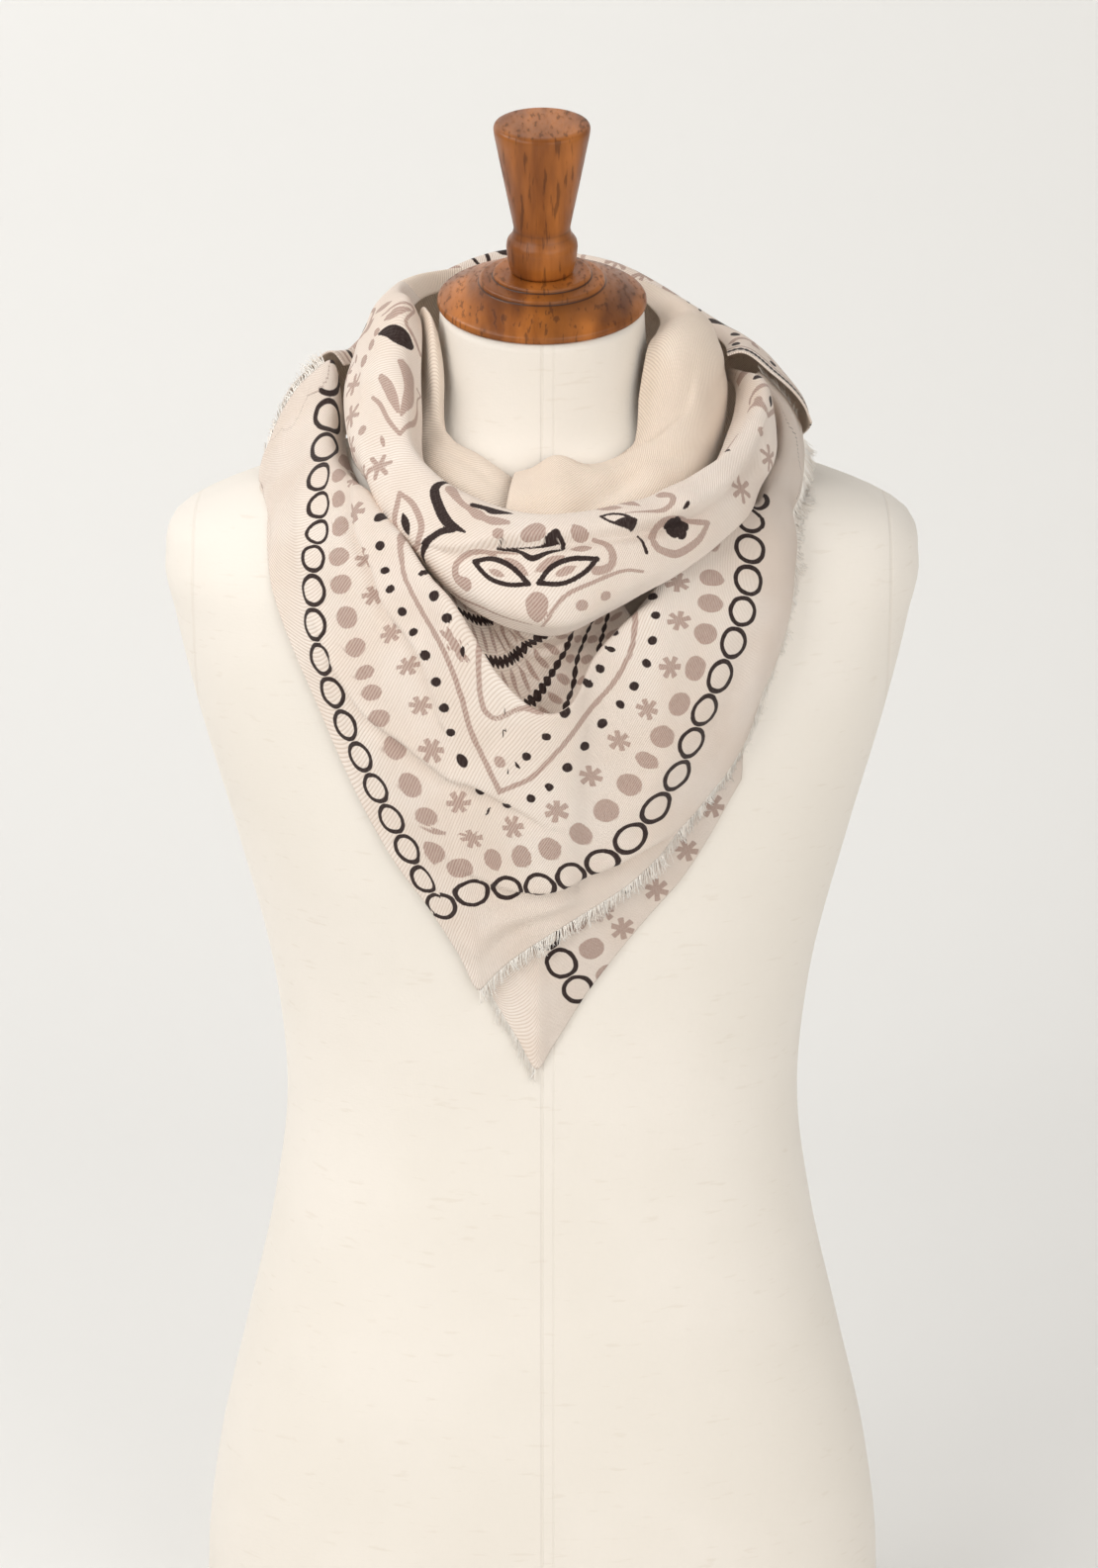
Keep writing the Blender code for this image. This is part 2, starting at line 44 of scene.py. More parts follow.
# ------------------------------------------------------------------ the form's torso
# A padded torso form, covered in pale calico that is drawn tight over it. It is sewn from
# panels: a double seam down the front, one down the back, and one round each armhole plate.
Ring = namedtuple("Ring", "up centre lean half_width front back squareness")
FORM_RINGS = [
    Ring(0, 0, 0, 177, 100, 110, 2.3),
    Ring(18, 0, 0, 187, 106, 118, 2.3),
    Ring(70, 0, 0, 190, 108, 122, 2.3),
    Ring(140, 0, 0, 182, 106, 119, 2.3),
    Ring(210, 0, 0, 166, 102, 110, 2.3),
    Ring(280, 0, 0, 150, 96, 98, 2.25),
    Ring(345, 0, 0, 141.5, 92, 88, 2.2),
    Ring(415, 0, 0, 147, 97, 88, 2.2),
    Ring(500, 0, 0, 167, 110, 96, 2.3),
    Ring(570, 0, 0, 186, 108, 104, 2.5),
    Ring(620, 0, 0, 197, 100, 106, 2.8),
    Ring(652, 0, 0, 202, 90, 102, 3.0),
    Ring(674, 0, 0, 194, 80, 94, 2.8),
    Ring(690, 1, 0, 160, 74.5, 85, 2.6),
    Ring(702, 2, 0, 122, 71, 77, 2.4),
    Ring(714, 2, 2, 90, 68, 71, 2.2),
    Ring(728, 0, 6, 70, 63, 65, 2.0),
    Ring(744, -3, 10, 59, 58, 59, 2.0),
    Ring(765, -5.5, 13.4, 55.5, 55, 55, 2.0),
    Ring(785.6, -8.5, 14.2, 54, 54, 54, 2.0),
]
TORSO_AROUND = 180
TORSO_STEP = 5
CALICO, CALICO_PALE = (0.83, 0.775, 0.70), (0.86, 0.805, 0.735)
CALICO_SLUB, CALICO_SEAM = (0.70, 0.62, 0.52), (0.60, 0.50, 0.40)
SECOND_SEAM = 0.0062
ARMHOLE_SEAM = 0.1845


def eased(keys, values, at):
    """Values at `at` on the smooth curve through the points (keys, values)."""
    keys, values = np.array(keys, float), np.array(values, float)
    at = np.clip(at, keys[0], keys[-1])
    span, rise = np.diff(keys), np.diff(values) / np.diff(keys)
    slope = np.empty(len(keys))
    slope[0], slope[-1] = rise[0], rise[-1]
    slope[1:-1] = (rise[:-1] * span[1:] + rise[1:] * span[:-1]) / (span[:-1] + span[1:])
    i = np.clip(np.searchsorted(keys, at, side="right") - 1, 0, len(keys) - 2)
    t = (at - keys[i]) / span[i]
    return (
        (2 * t ** 3 - 3 * t ** 2 + 1) * values[i]
        + (t ** 3 - 2 * t ** 2 + t) * span[i] * slope[i]
        + (3 * t ** 2 - 2 * t ** 3) * values[i + 1]
        + (t ** 3 - t ** 2) * span[i] * slope[i + 1]
    )


def form_ring(up):
    """The form's ring at each height, a column of the table at a time."""
    ups = [ring.up for ring in FORM_RINGS]
    return Ring(*(eased(ups, [ring[k] for ring in FORM_RINGS], up) for k in range(len(Ring._fields))))


def signed_power(value, power):
    return np.sign(value) * np.abs(value) ** power


def lay_faces(mesh, verts, closed):
    """Quads over a grid of vertices, joined round its first axis where it is closed."""
    across = len(verts)
    for i in range(across if closed else across - 1):
        here, there = verts[i], verts[(i + 1) % across]
        for k in range(len(here) - 1):
            mesh.faces.new((here[k], there[k], there[k + 1], here[k + 1]))


def new_piece(name, mesh):
    """An object at the origin that holds a finished bmesh."""
    data = bpy.data.meshes.new(name)
    mesh.to_mesh(data)
    mesh.free()
    piece = bpy.data.objects.new(name, data)
    bpy.context.scene.collection.objects.link(piece)
    return piece


def finish_piece(piece, material, replaced):
    """Make an object a finished piece: smooth, in its material, and riding on the form."""
    piece.data.shade_smooth()
    piece.data.materials.append(material)
    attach(piece, "root")
    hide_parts(*replaced)
    return piece


class Nodes:
    """Builds one material: each call adds a node and gives back its output socket."""

    def __init__(self, name, colour, roughness, **finish):
        self.material = bpy.data.materials.new(name)
        self.material.use_nodes = True
        self.tree = self.material.node_tree
        self.shader = self.tree.nodes["Principled BSDF"]
        self.shader.inputs["Base Color"].default_value = (*colour, 1)
        self.shader.inputs["Roughness"].default_value = roughness
        for socket, value in finish.items():
            self.shader.inputs[socket.replace("_", " ")].default_value = value

    def add(self, kind, output, settings, **inputs):
        node = self.tree.nodes.new(kind)
        for setting, value in settings.items():
            setattr(node, setting, value)
        for socket, value in inputs.items():
            self.feed(node.inputs[socket.replace("_", " ")], value)
        return node.outputs[output]

    def feed(self, socket, value):
        if isinstance(value, bpy.types.NodeSocket):
            self.tree.links.new(value, socket)
        else:
            socket.default_value = value

    def sum(self, operation, *values):
        node = self.tree.nodes.new("ShaderNodeMath")
        node.operation = operation
        for socket, value in zip(node.inputs, values):
            self.feed(socket, value)
        return node.outputs[0]

    def place(self):
        return self.add("ShaderNodeTexCoord", "Object", {})

    def axes(self, vector):
        split = self.tree.nodes.new("ShaderNodeSeparateXYZ")
        self.feed(split.inputs[0], vector)
        return split.outputs

    def noise(self, vector, scale, detail=2.0, stretch=(1, 1, 1)):
        if stretch != (1, 1, 1):
            vector = self.add("ShaderNodeMapping", "Vector", {}, Vector=vector, Scale=stretch)
        return self.add("ShaderNodeTexNoise", "Fac", {}, Vector=vector, Scale=scale, Detail=detail)

    def band(self, value, low, high, start=0.0, end=1.0):
        """`value` carried smoothly from low..high to start..end."""
        spots = {"From Min": low, "From Max": high, "To Min": start, "To Max": end}
        node = self.tree.nodes.new("ShaderNodeMapRange")
        node.interpolation_type = "SMOOTHSTEP"
        self.feed(node.inputs["Value"], value)
        for socket, spot in spots.items():
            node.inputs[socket].default_value = spot
        return node.outputs["Result"]

    def blend(self, share, first, second, way="MIX"):
        node = self.tree.nodes.new("ShaderNodeMix")
        node.data_type = "RGBA"
        node.blend_type = way
        self.feed(node.inputs["Factor"], share)
        self.feed(node.inputs[6], first if isinstance(first, bpy.types.NodeSocket) else (*first, 1))
        self.feed(node.inputs[7], second if isinstance(second, bpy.types.NodeSocket) else (*second, 1))
        return node.outputs[2]

    def bump(self, height, distance, strength=1.0, under=None):
        inputs = {"Height": height, "Distance": distance, "Strength": strength}
        if under is not None:
            inputs["Normal"] = under
        return self.add("ShaderNodeBump", "Normal", {}, **inputs)

    def wear(self, **inputs):
        for socket, value in inputs.items():
            self.feed(self.shader.inputs[socket.replace("_", " ")], value)
        return self.material


def calico_material():
    """Plain weave seen from a step away: fine crossed threads, faint slubs and the panel seams."""
    cloth = Nodes("form_calico", CALICO, 0.82, Sheen_Weight=0.12, Sheen_Roughness=0.5)
    place = cloth.place()
    x, y, z = cloth.axes(place)
    weft = cloth.noise(place, 900, 1, (0.35, 0.35, 1))
    warp = cloth.noise(place, 900, 1, (1, 1, 0.35))
    slubs = cloth.noise(place, 60, 2, (1, 1, 5))
    mottle = cloth.noise(place, 9, 3)
    side = cloth.sum("ABSOLUTE", x)
    front = cloth.band(y, -0.02, -0.04)
    back = cloth.band(y, 0.02, 0.04)
    off_second = cloth.sum("ABSOLUTE", cloth.sum("SUBTRACT", x, SECOND_SEAM))
    off_armhole = cloth.sum("ABSOLUTE", cloth.sum("SUBTRACT", side, ARMHOLE_SEAM))
    centre = cloth.sum("MULTIPLY", cloth.band(side, 0.0003, 0.0011, 1, 0), cloth.sum("MAXIMUM", front, back))
    second = cloth.sum("MULTIPLY", cloth.band(off_second, 0.0002, 0.0008, 0.6, 0), front)
    armhole = cloth.sum("MULTIPLY", cloth.band(off_armhole, 0.0003, 0.0013, 1, 0), cloth.band(z, 0.53, 0.55))
    seams = cloth.sum("MAXIMUM", centre, cloth.sum("MAXIMUM", second, armhole))
    colour = cloth.blend(cloth.band(mottle, 0.35, 0.7), CALICO, CALICO_PALE)
    colour = cloth.blend(cloth.band(slubs, 0.62, 0.75, 0, 0.25), colour, CALICO_SLUB)
    colour = cloth.blend(cloth.sum("MULTIPLY", seams, 0.13), colour, CALICO_SEAM)
    weave = cloth.bump(cloth.sum("ADD", weft, warp), 0.00025, 0.35)
    sewn = cloth.bump(cloth.sum("SUBTRACT", 1, seams), 0.0003, 0.8, weave)
    return cloth.wear(Base_Color=colour, Normal=sewn)


def build_torso():
    mesh = bmesh.new()
    ups = np.linspace(0, FORM_RINGS[-1].up, int(FORM_RINGS[-1].up / TORSO_STEP) + 1)
    ring = form_ring(ups)
    lean = np.radians(ring.lean)
    verts = []
    for k in range(TORSO_AROUND):
        turn = 2 * math.pi * k / TORSO_AROUND
        across, along = math.sin(turn), -math.cos(turn)
        depth = ring.front if along < 0 else ring.back
        x = ring.half_width * signed_power(across, 2 / ring.squareness)
        y = depth * signed_power(along, 2 / ring.squareness)
        spots = np.stack([x, ring.centre + y * np.cos(lean), ups + y * np.sin(lean)], 1) * MM
        verts.append([mesh.verts.new(spot) for spot in spots])
    lay_faces(mesh, verts, True)
    mesh.faces.new([column[0] for column in reversed(verts)])
    mesh.faces.new([column[-1] for column in verts])
    finish_piece(new_piece("torso_cover", mesh), calico_material(), ["form_torso"])


build_torso()


# ------------------------------------------------------------------ neck cap and finial
# The neck is closed by a turned wooden cap, a low cone with two beads, and a turned finial
# stands on it. Both are one warm brown wood, waxed, with darker grain and rims.
Turned = namedtuple("Turned", "radius height")
CAP_OUTLINE = [
    Turned(0, 18.6), Turned(25, 18.6), Turned(26, 17.8), Turned(26, 16.2), Turned(32.4, 15.4),
    Turned(33.4, 14.5), Turned(33.4, 12.8), Turned(42, 10), Turned(50, 6.6), Turned(54.5, 4.6),
    Turned(55.5, 3.4), Turned(55.5, 0.8), Turned(54, 0), Turned(0, 0),
]
FINIAL_OUTLINE = [
    Turned(0, 82.5), Turned(22.2, 82.5), Turned(24.8, 81.7), Turned(25.4, 80), Turned(24.9, 76),
    Turned(21.7, 59.5), Turned(18.7, 44), Turned(15.6, 28.5), Turned(14.8, 24.2), Turned(15.8, 20.8),
    Turned(18.4, 17.4), Turned(18.9, 14.2), Turned(18.2, 6.6), Turned(16.8, 1.2), Turned(16, 0), Turned(0, 0),
]
NECK_LEAN = math.radians(14.2)
CAP_CENTRE = Vector((0, -8.5 * MM, 786 * MM))
FINIAL_LIFT = 18.9 * MM
CORNER_ROUND = 0.9
WOOD_LIGHT, WOOD_MIDDLE, WOOD_DARK = (0.50, 0.165, 0.030), (0.20, 0.058, 0.010), (0.028, 0.008, 0.003)


def wood_material():
    """Waxed wood: long grain along the neck's lean, rings on the cone, dark pores and rims."""
    wood = Nodes("waxed_wood", WOOD_MIDDLE, 0.5, Coat_Weight=0.06, Coat_Roughness=0.3, Specular_IOR_Level=0.3)
    place = wood.add("ShaderNodeMapping", "Vector", {"vector_type": "TEXTURE"}, Vector=wood.place(),
                     Location=CAP_CENTRE, Rotation=(NECK_LEAN, 0, 0))
    streaks = wood.noise(place, 55, 5, (1, 0.25, 0.16))
    pores = wood.noise(place, 420, 3, (1, 0.35, 0.10))
    patches = wood.noise(place, 18, 2)
    colour = wood.blend(wood.band(streaks, 0.34, 0.66), WOOD_MIDDLE, WOOD_LIGHT)
    colour = wood.blend(wood.band(patches, 0.42, 0.72, 0, 0.62), colour, WOOD_DARK)
    colour = wood.blend(wood.band(pores, 0.56, 0.66, 0, 0.5), colour, WOOD_DARK)
    groove = wood.add("ShaderNodeAttribute", "Fac", {"attribute_name": "groove"})
    colour = wood.blend(groove, colour, WOOD_DARK)
    return wood.wear(Base_Color=colour, Roughness=wood.band(pores, 0.4, 0.7, 0.32, 0.5),
                     Normal=wood.bump(wood.sum("ADD", streaks, pores), 0.0003, 0.4))


def rounded(outline):
    """A half outline with each corner replaced by three points, CORNER_ROUND from it at most."""
    profile = [Vector((spot.radius, spot.height)) for spot in outline]
    soft = [profile[0]]
    for before, here, after in zip(profile, profile[1:], profile[2:]):
        back, ahead = (before - here).length, (after - here).length
        one = here.lerp(before, min(CORNER_ROUND, back * 0.4) / back)
        two = here.lerp(after, min(CORNER_ROUND, ahead * 0.4) / ahead)
        soft += [one, here.lerp((one + two) / 2, 0.5), two]
    soft.append(profile[-1])
    return soft


def mark_grooves(data, soft):
    """Keep how dark each ring's wood is: darkest in the hollows, a little dark on the rims."""
    dark = []
    for before, here, after in zip(soft, soft[1:], soft[2:]):
        turn = (here - before).angle_signed(after - here, 0)
        dark.append(min(1.0, max(0.0, -turn * 1.4 if turn < 0 else turn * 0.25)))
    dark[0] = dark[-1] = 0.0
    rings = np.array([spot[:] for spot in soft[1:-1]]) * MM
    spots = np.array([(math.hypot(vertex.co.x, vertex.co.y), vertex.co.z) for vertex in data.vertices])
    nearest = np.linalg.norm(spots[:, None] - rings, axis=2).argmin(1)
    values = np.where(spots[:, 0] < 0.001, 0, np.array(dark)[nearest])
    data.attributes.new("groove", "FLOAT", "POINT").data.foreach_set("value", values)


def build_turned(name, outline, foot, steps, material, node):
    """Turn an outline as on a lathe, ring by ring from the top, and lean it as the neck leans."""
    soft = rounded(outline)
    bpy.ops.object.select_all(action="DESELECT")
    bpy.ops.mesh.primitive_circle_add(vertices=steps, radius=soft[1].x * MM, calc_uvs=False)
    piece = bpy.context.object
    piece.name = piece.data.name = name
    bpy.ops.object.mode_set(mode="EDIT")
    bpy.ops.transform.translate(value=(0, 0, soft[1].y * MM))
    for here, there in zip(soft[1:], soft[2:-1]):
        wider = there.x / here.x
        bpy.ops.mesh.extrude_region_move(TRANSFORM_OT_translate={"value": (0, 0, (there.y - here.y) * MM)})
        bpy.ops.transform.resize(value=(wider, wider, 1), center_override=(0, 0, 0))
    bpy.ops.mesh.edge_face_add()
    bpy.ops.mesh.poke()
    bpy.ops.mesh.select_all(action="DESELECT")
    bpy.ops.mesh.select_non_manifold()
    bpy.ops.mesh.edge_face_add()
    bpy.ops.mesh.poke()
    bpy.ops.mesh.select_all(action="SELECT")
    bpy.ops.mesh.normals_make_consistent(inside=False)
    bpy.ops.object.mode_set(mode="OBJECT")
    mark_grooves(piece.data, soft)
    piece.data.transform(Matrix.Translation(foot) @ Matrix.Rotation(NECK_LEAN, 4, "X"))
    return finish_piece(piece, material, [node])


waxed_wood = wood_material()
neck_axis = Vector((0, -math.sin(NECK_LEAN), math.cos(NECK_LEAN)))
finial_foot = CAP_CENTRE + neck_axis * FINIAL_LIFT
build_turned("turned_cap", CAP_OUTLINE, CAP_CENTRE, 128, waxed_wood, "neck_cap")
build_turned("turned_finial", FINIAL_OUTLINE, finial_foot, 96, waxed_wood, "finial")


# ------------------------------------------------------------------ scarf: the corner beneath
# The scarf is one square of light twill, about 1.2 m a side, folded corner to corner and wound
# round the neck. One of its two free corners lies flat on the chest and shows below the other.
CLOTH_THICK = 1.1
CLEAR_OF_FORM = 1.3
RAISED_CLEAR = 0.8
INK_REACH = 6
UNDER_TIP_GAP = 1.4
UNDER_TIP_POINT = -1.5
UnderTip = namedtuple("UnderTip", "angle top_up hem_up")
UNDER_TIP = [
    UnderTip(-16, 466, 434),
    UnderTip(-12, 470, 420),
    UnderTip(-7, 478, 404),
    UnderTip(-1.5, 486, 388),
    UnderTip(3, 494, 400),
    UnderTip(13, 512, 431),
    UnderTip(28, 540, 475),
    UnderTip(37, 568, 502),
    UnderTip(47, 606, 549),
]
# How far the print is set in from the two edges here, where its repeat starts along each, and how
# much farther than the cut the fold may be and still give the print.
CUT_BORDER = 9.6
CUT_START = 1.5
FOLD_BORDER = 59.5
FOLD_START = 1
FOLD_LEAD = 6
CREAM, CREAM_SHADE = (0.895, 0.805, 0.73), (0.84, 0.725, 0.635)
MAUVE = (0.39, 0.25, 0.205)
DARK_BROWN = (0.020, 0.006, 0.004)
RIB_SHADE = (0.58, 0.45, 0.36)
REVERSE_CREAM, REVERSE_SHADE = (0.93, 0.81, 0.695), (0.88, 0.745, 0.62)
# How far inside the cloth's edge each row of the print lies, and the length of its repeat.
RING_FAR, OVAL_FAR, STAR_FAR, OUTER_DOTS, BORDER_LINE, INNER_DOTS = 33, 51, 67, 80, 90, 100
REPEAT = 18.3


def form_reach(angle, up):
    """How far the form reaches from the upright axis, in each direction and at each height."""
    ring = form_ring(up)
    across, along = np.sin(np.radians(angle)), -np.cos(np.radians(angle))
    near, far = np.zeros_like(up), np.full_like(up, 400.0)
    for _ in range(15):
        out = (near + far) / 2
        x, y = out * across, out * along - ring.centre
        depth = np.where(y < 0, ring.front, ring.back)
        inside = (np.abs(x) / ring.half_width) ** ring.squareness + (np.abs(y) / depth) ** ring.squareness < 1
        near, far = np.where(inside, out, near), np.where(inside, far, out)
    return near


def round_axis(angle, out, up):
    turn = np.radians(angle)
    return np.stack([out * np.sin(turn), -out * np.cos(turn), up], -1)


def off_form(points, gap):
    """The same points, moved out and up wherever they are nearer to the form than `gap`."""
    angle = np.degrees(np.arctan2(points[..., 0], -points[..., 1]))
    out = np.hypot(points[..., 0], points[..., 1])
    up = points[..., 2].copy()
    short = form_reach(angle, up) + gap - out
    for _ in range(30):
        left = short > 0.01
        if not left.any():
            break
        out[left] += 0.5 * short[left]
        up[left] += 0.5 * short[left]
        short[left] = form_reach(angle[left], up[left]) + gap - out[left]
    return round_axis(angle, out, up)


def lay_stretch(angles, stations, steps):
    """A grid of points: at each angle, the smooth curve through that angle's (out, up) stations."""
    angles = np.array(angles, float)
    columns = []
    for k in range(len(angles)):
        outs, ups = stations[:, k, 0], stations[:, k, 1]
        chord = np.concatenate([[0], np.cumsum(np.hypot(np.diff(outs), np.diff(ups)))])
        at = np.linspace(0, chord[-1], steps + 1)
        columns.append(np.stack([eased(chord, outs, at), eased(chord, ups, at)], 1))
    grid = np.array(columns)
    return off_form(round_axis(angles[:, None], grid[..., 0], grid[..., 1]), CLEAR_OF_FORM)


def outward(points):
    across = np.gradient(points, axis=0)
    down = np.gradient(points, axis=1)
    normal = np.cross(down, across)
    return normal / np.maximum(np.linalg.norm(normal, axis=2, keepdims=True), 1e-9)


def on_grid(points, angles, angle, share):
    """The point of a grid at an angle and at a share of the way down."""
    i = np.interp(angle, angles, np.arange(len(angles)))
    k = share * (points.shape[1] - 1)
    i0, k0 = min(int(i), points.shape[0] - 2), min(int(k), points.shape[1] - 2)
    di, dk = i - i0, k - k0
    near = points[i0, k0] * (1 - dk) + points[i0, k0 + 1] * dk
    far = points[i0 + 1, k0] * (1 - dk) + points[i0 + 1, k0 + 1] * dk
    return near * (1 - di) + far * di


def nearest_on_path(points, path):
    """For each point: its distance to a path, the place along it, and the offset from it."""
    best = np.full(points.shape[:-1], 1e9)
    place, offset, course = np.zeros_like(best), np.zeros_like(points), np.zeros_like(points)
    start = 0.0
    for here, there in zip(path, path[1:]):
        run = there - here
        length = np.linalg.norm(run)
        share = np.clip(((points - here) @ run) / length ** 2, 0, 1)
        gap = points - here - share[..., None] * run
        far = np.linalg.norm(gap, axis=-1)
        closer = far < best
        best = np.where(closer, far, best)
        place = np.where(closer, start + share * length, place)
        offset = np.where(closer[..., None], gap, offset)
        course = np.where(closer[..., None], run / length, course)
        start += length
    return best, place, offset, course, start


Crease = namedtuple("Crease", "kind height width path")


def smooth_path(points, angles, spots, pieces=6):
    """The grid's points along a crease, with `pieces` short runs between its given spots."""
    keys = np.arange(len(spots))
    at = np.linspace(0, len(spots) - 1, (len(spots) - 1) * pieces + 1)
    turns = eased(keys, [spot[0] for spot in spots], at)
    shares = np.clip(eased(keys, [spot[1] for spot in spots], at), 0, 1)
    return [on_grid(points, angles, turn, share) for turn, share in zip(turns, shares)]


def crease(points, angles, creases, wave=0.45, fade=0.55):
    """Raise the cloth in soft folds: ridges, troughs, and laps that drop off on one side."""
    normal = outward(points)
    rise = np.zeros(points.shape[:2])
    x, y, z = (points[..., axis] for axis in range(3))
    rise += wave * np.sin(x / 13 + z / 21 + 1.3 * np.sin(y / 17)) * np.sin(z / 15 - x / 31 + 0.7)
    rise += 0.5 * wave * np.sin(z / 7.5 + x / 9 + np.sin(x / 11)) * np.sin(x / 23 + y / 19)
    for fold in creases:
        path = smooth_path(points, angles, fold.path)
        far, place, offset, course, length = nearest_on_path(points, path)
        side = np.sign((np.cross(normal, course) * offset).sum(-1)) * far
        along = np.sin(np.pi * np.clip(place / length, 0.02, 0.98)) ** fade
        uneven = 1 + 0.22 * np.sin(place / 14 + fold.width) + 0.12 * np.sin(place / 5.3)
        if fold.kind == "lap":
            shape = (0.5 + 0.5 * np.tanh(side / 0.9)) * np.exp(-np.maximum(side, 0) / (2.6 * fold.width))
            shape = shape - 0.45 * np.exp(-((side + fold.width * 0.6) / (0.8 * fold.width)) ** 2)
        else:
            shape = np.exp(-(side / fold.width) ** 2)
        rise += fold.height * shape * along * uneven
    return off_form(points + normal * rise[..., None], RAISED_CLEAR)


def edge_measure(points, path, inset, start):
    """Distance of each point from an edge of the cloth, and the place along that edge."""
    far, place, _, _, _ = nearest_on_path(points, path)
    return far + inset, place + start


def make_cloth(name, points, print_map, face, reverse, replaced, marks=None):
    """Turn a grid into a wall of cloth, its face printed and its reverse plain."""
    count, deep = points.shape[:2]
    index = np.arange(count * deep).reshape(count, deep)
    faces = np.stack([index[:-1, :-1], index[:-1, 1:], index[1:, 1:], index[1:, :-1]], -1).reshape(-1, 4)
    data = bpy.data.meshes.new(name)
    data.from_pydata((points * MM).reshape(-1, 3).tolist(), [], faces.tolist())
    layer = data.uv_layers.new(name="print")
    layer.data.foreach_set("uv", print_map(faces).reshape(-1).astype(np.float32))
    weave = data.uv_layers.new(name="weave")
    weave.data.foreach_set("uv", by_grid(points)(faces).reshape(-1).astype(np.float32))
    for mark, values in (marks or {}).items():
        kept = data.attributes.new(mark, "FLOAT", "POINT")
        kept.data.foreach_set("value", values.reshape(-1).astype(np.float32))
    data.shade_smooth()
    piece = bpy.data.objects.new(name, data)
    bpy.context.scene.collection.objects.link(piece)
    data.materials.append(face)
    data.materials.append(reverse)
    wall = piece.modifiers.new("wall", "SOLIDIFY")
    wall.thickness = CLOTH_THICK * MM
    wall.offset = 0
    wall.material_offset = 1
    bpy.ops.object.select_all(action="DESELECT")
    bpy.context.view_layer.objects.active = piece
    piece.select_set(True)
    bpy.ops.object.modifier_apply(modifier="wall")
    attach(piece, "root")
    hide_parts(*replaced)
    return piece


def by_two_edges(first, second, past):
    """A print map: each face measures from the first edge, or from the second where `past` is above 0."""
    def measure(faces):
        far_one, place_one = (values.reshape(-1)[faces] for values in first)
        far_two, place_two = (values.reshape(-1)[faces] for values in second)
        later = (past.reshape(-1)[faces].mean(1) > 0)[:, None]
        far = np.where(later, far_two, far_one)
        place = np.where(later, place_two, place_one)
        return np.stack([place, far], -1) * MM
    return measure


def runs(points):
    """Millimetres along a grid and down it, at the mean pace of its rows and columns."""
    along = np.linalg.norm(np.diff(points, axis=0), axis=2).mean(1)
    down = np.linalg.norm(np.diff(points, axis=1), axis=2).mean(0)
    return np.concatenate([[0], np.cumsum(along)]), np.concatenate([[0], np.cumsum(down)])


def by_grid(points, slant=0.0):
    """A print map that measures along the grid and down it, turned by `slant` degrees."""
    along, down = runs(points)
    place = along[:, None] + np.zeros(points.shape[1])
    far = down[None, :] + np.zeros((points.shape[0], 1))
    turn = math.radians(slant)
    place, far = place * math.cos(turn) + far * math.sin(turn), far * math.cos(turn) - place * math.sin(turn)

    def measure(faces):
        return np.stack([place.reshape(-1)[faces], far.reshape(-1)[faces]], -1) * MM
    return measure


def area(points):
    """The cloth's area in square metres."""
    along, down = np.diff(points, axis=0)[:, :-1], np.diff(points, axis=1)[:-1]
    return float(np.linalg.norm(np.cross(along, down), axis=2).sum()) * MM ** 2


def declare(points):
    """Measure this stretch laid flat: its length, width and area, which are not kept or shown."""
    long = float(np.linalg.norm(np.diff(points, axis=0), axis=2).sum(0).max()) * MM
    wide = float(np.linalg.norm(np.diff(points, axis=1), axis=2).sum(1).max()) * MM
    round(area(points), 4)


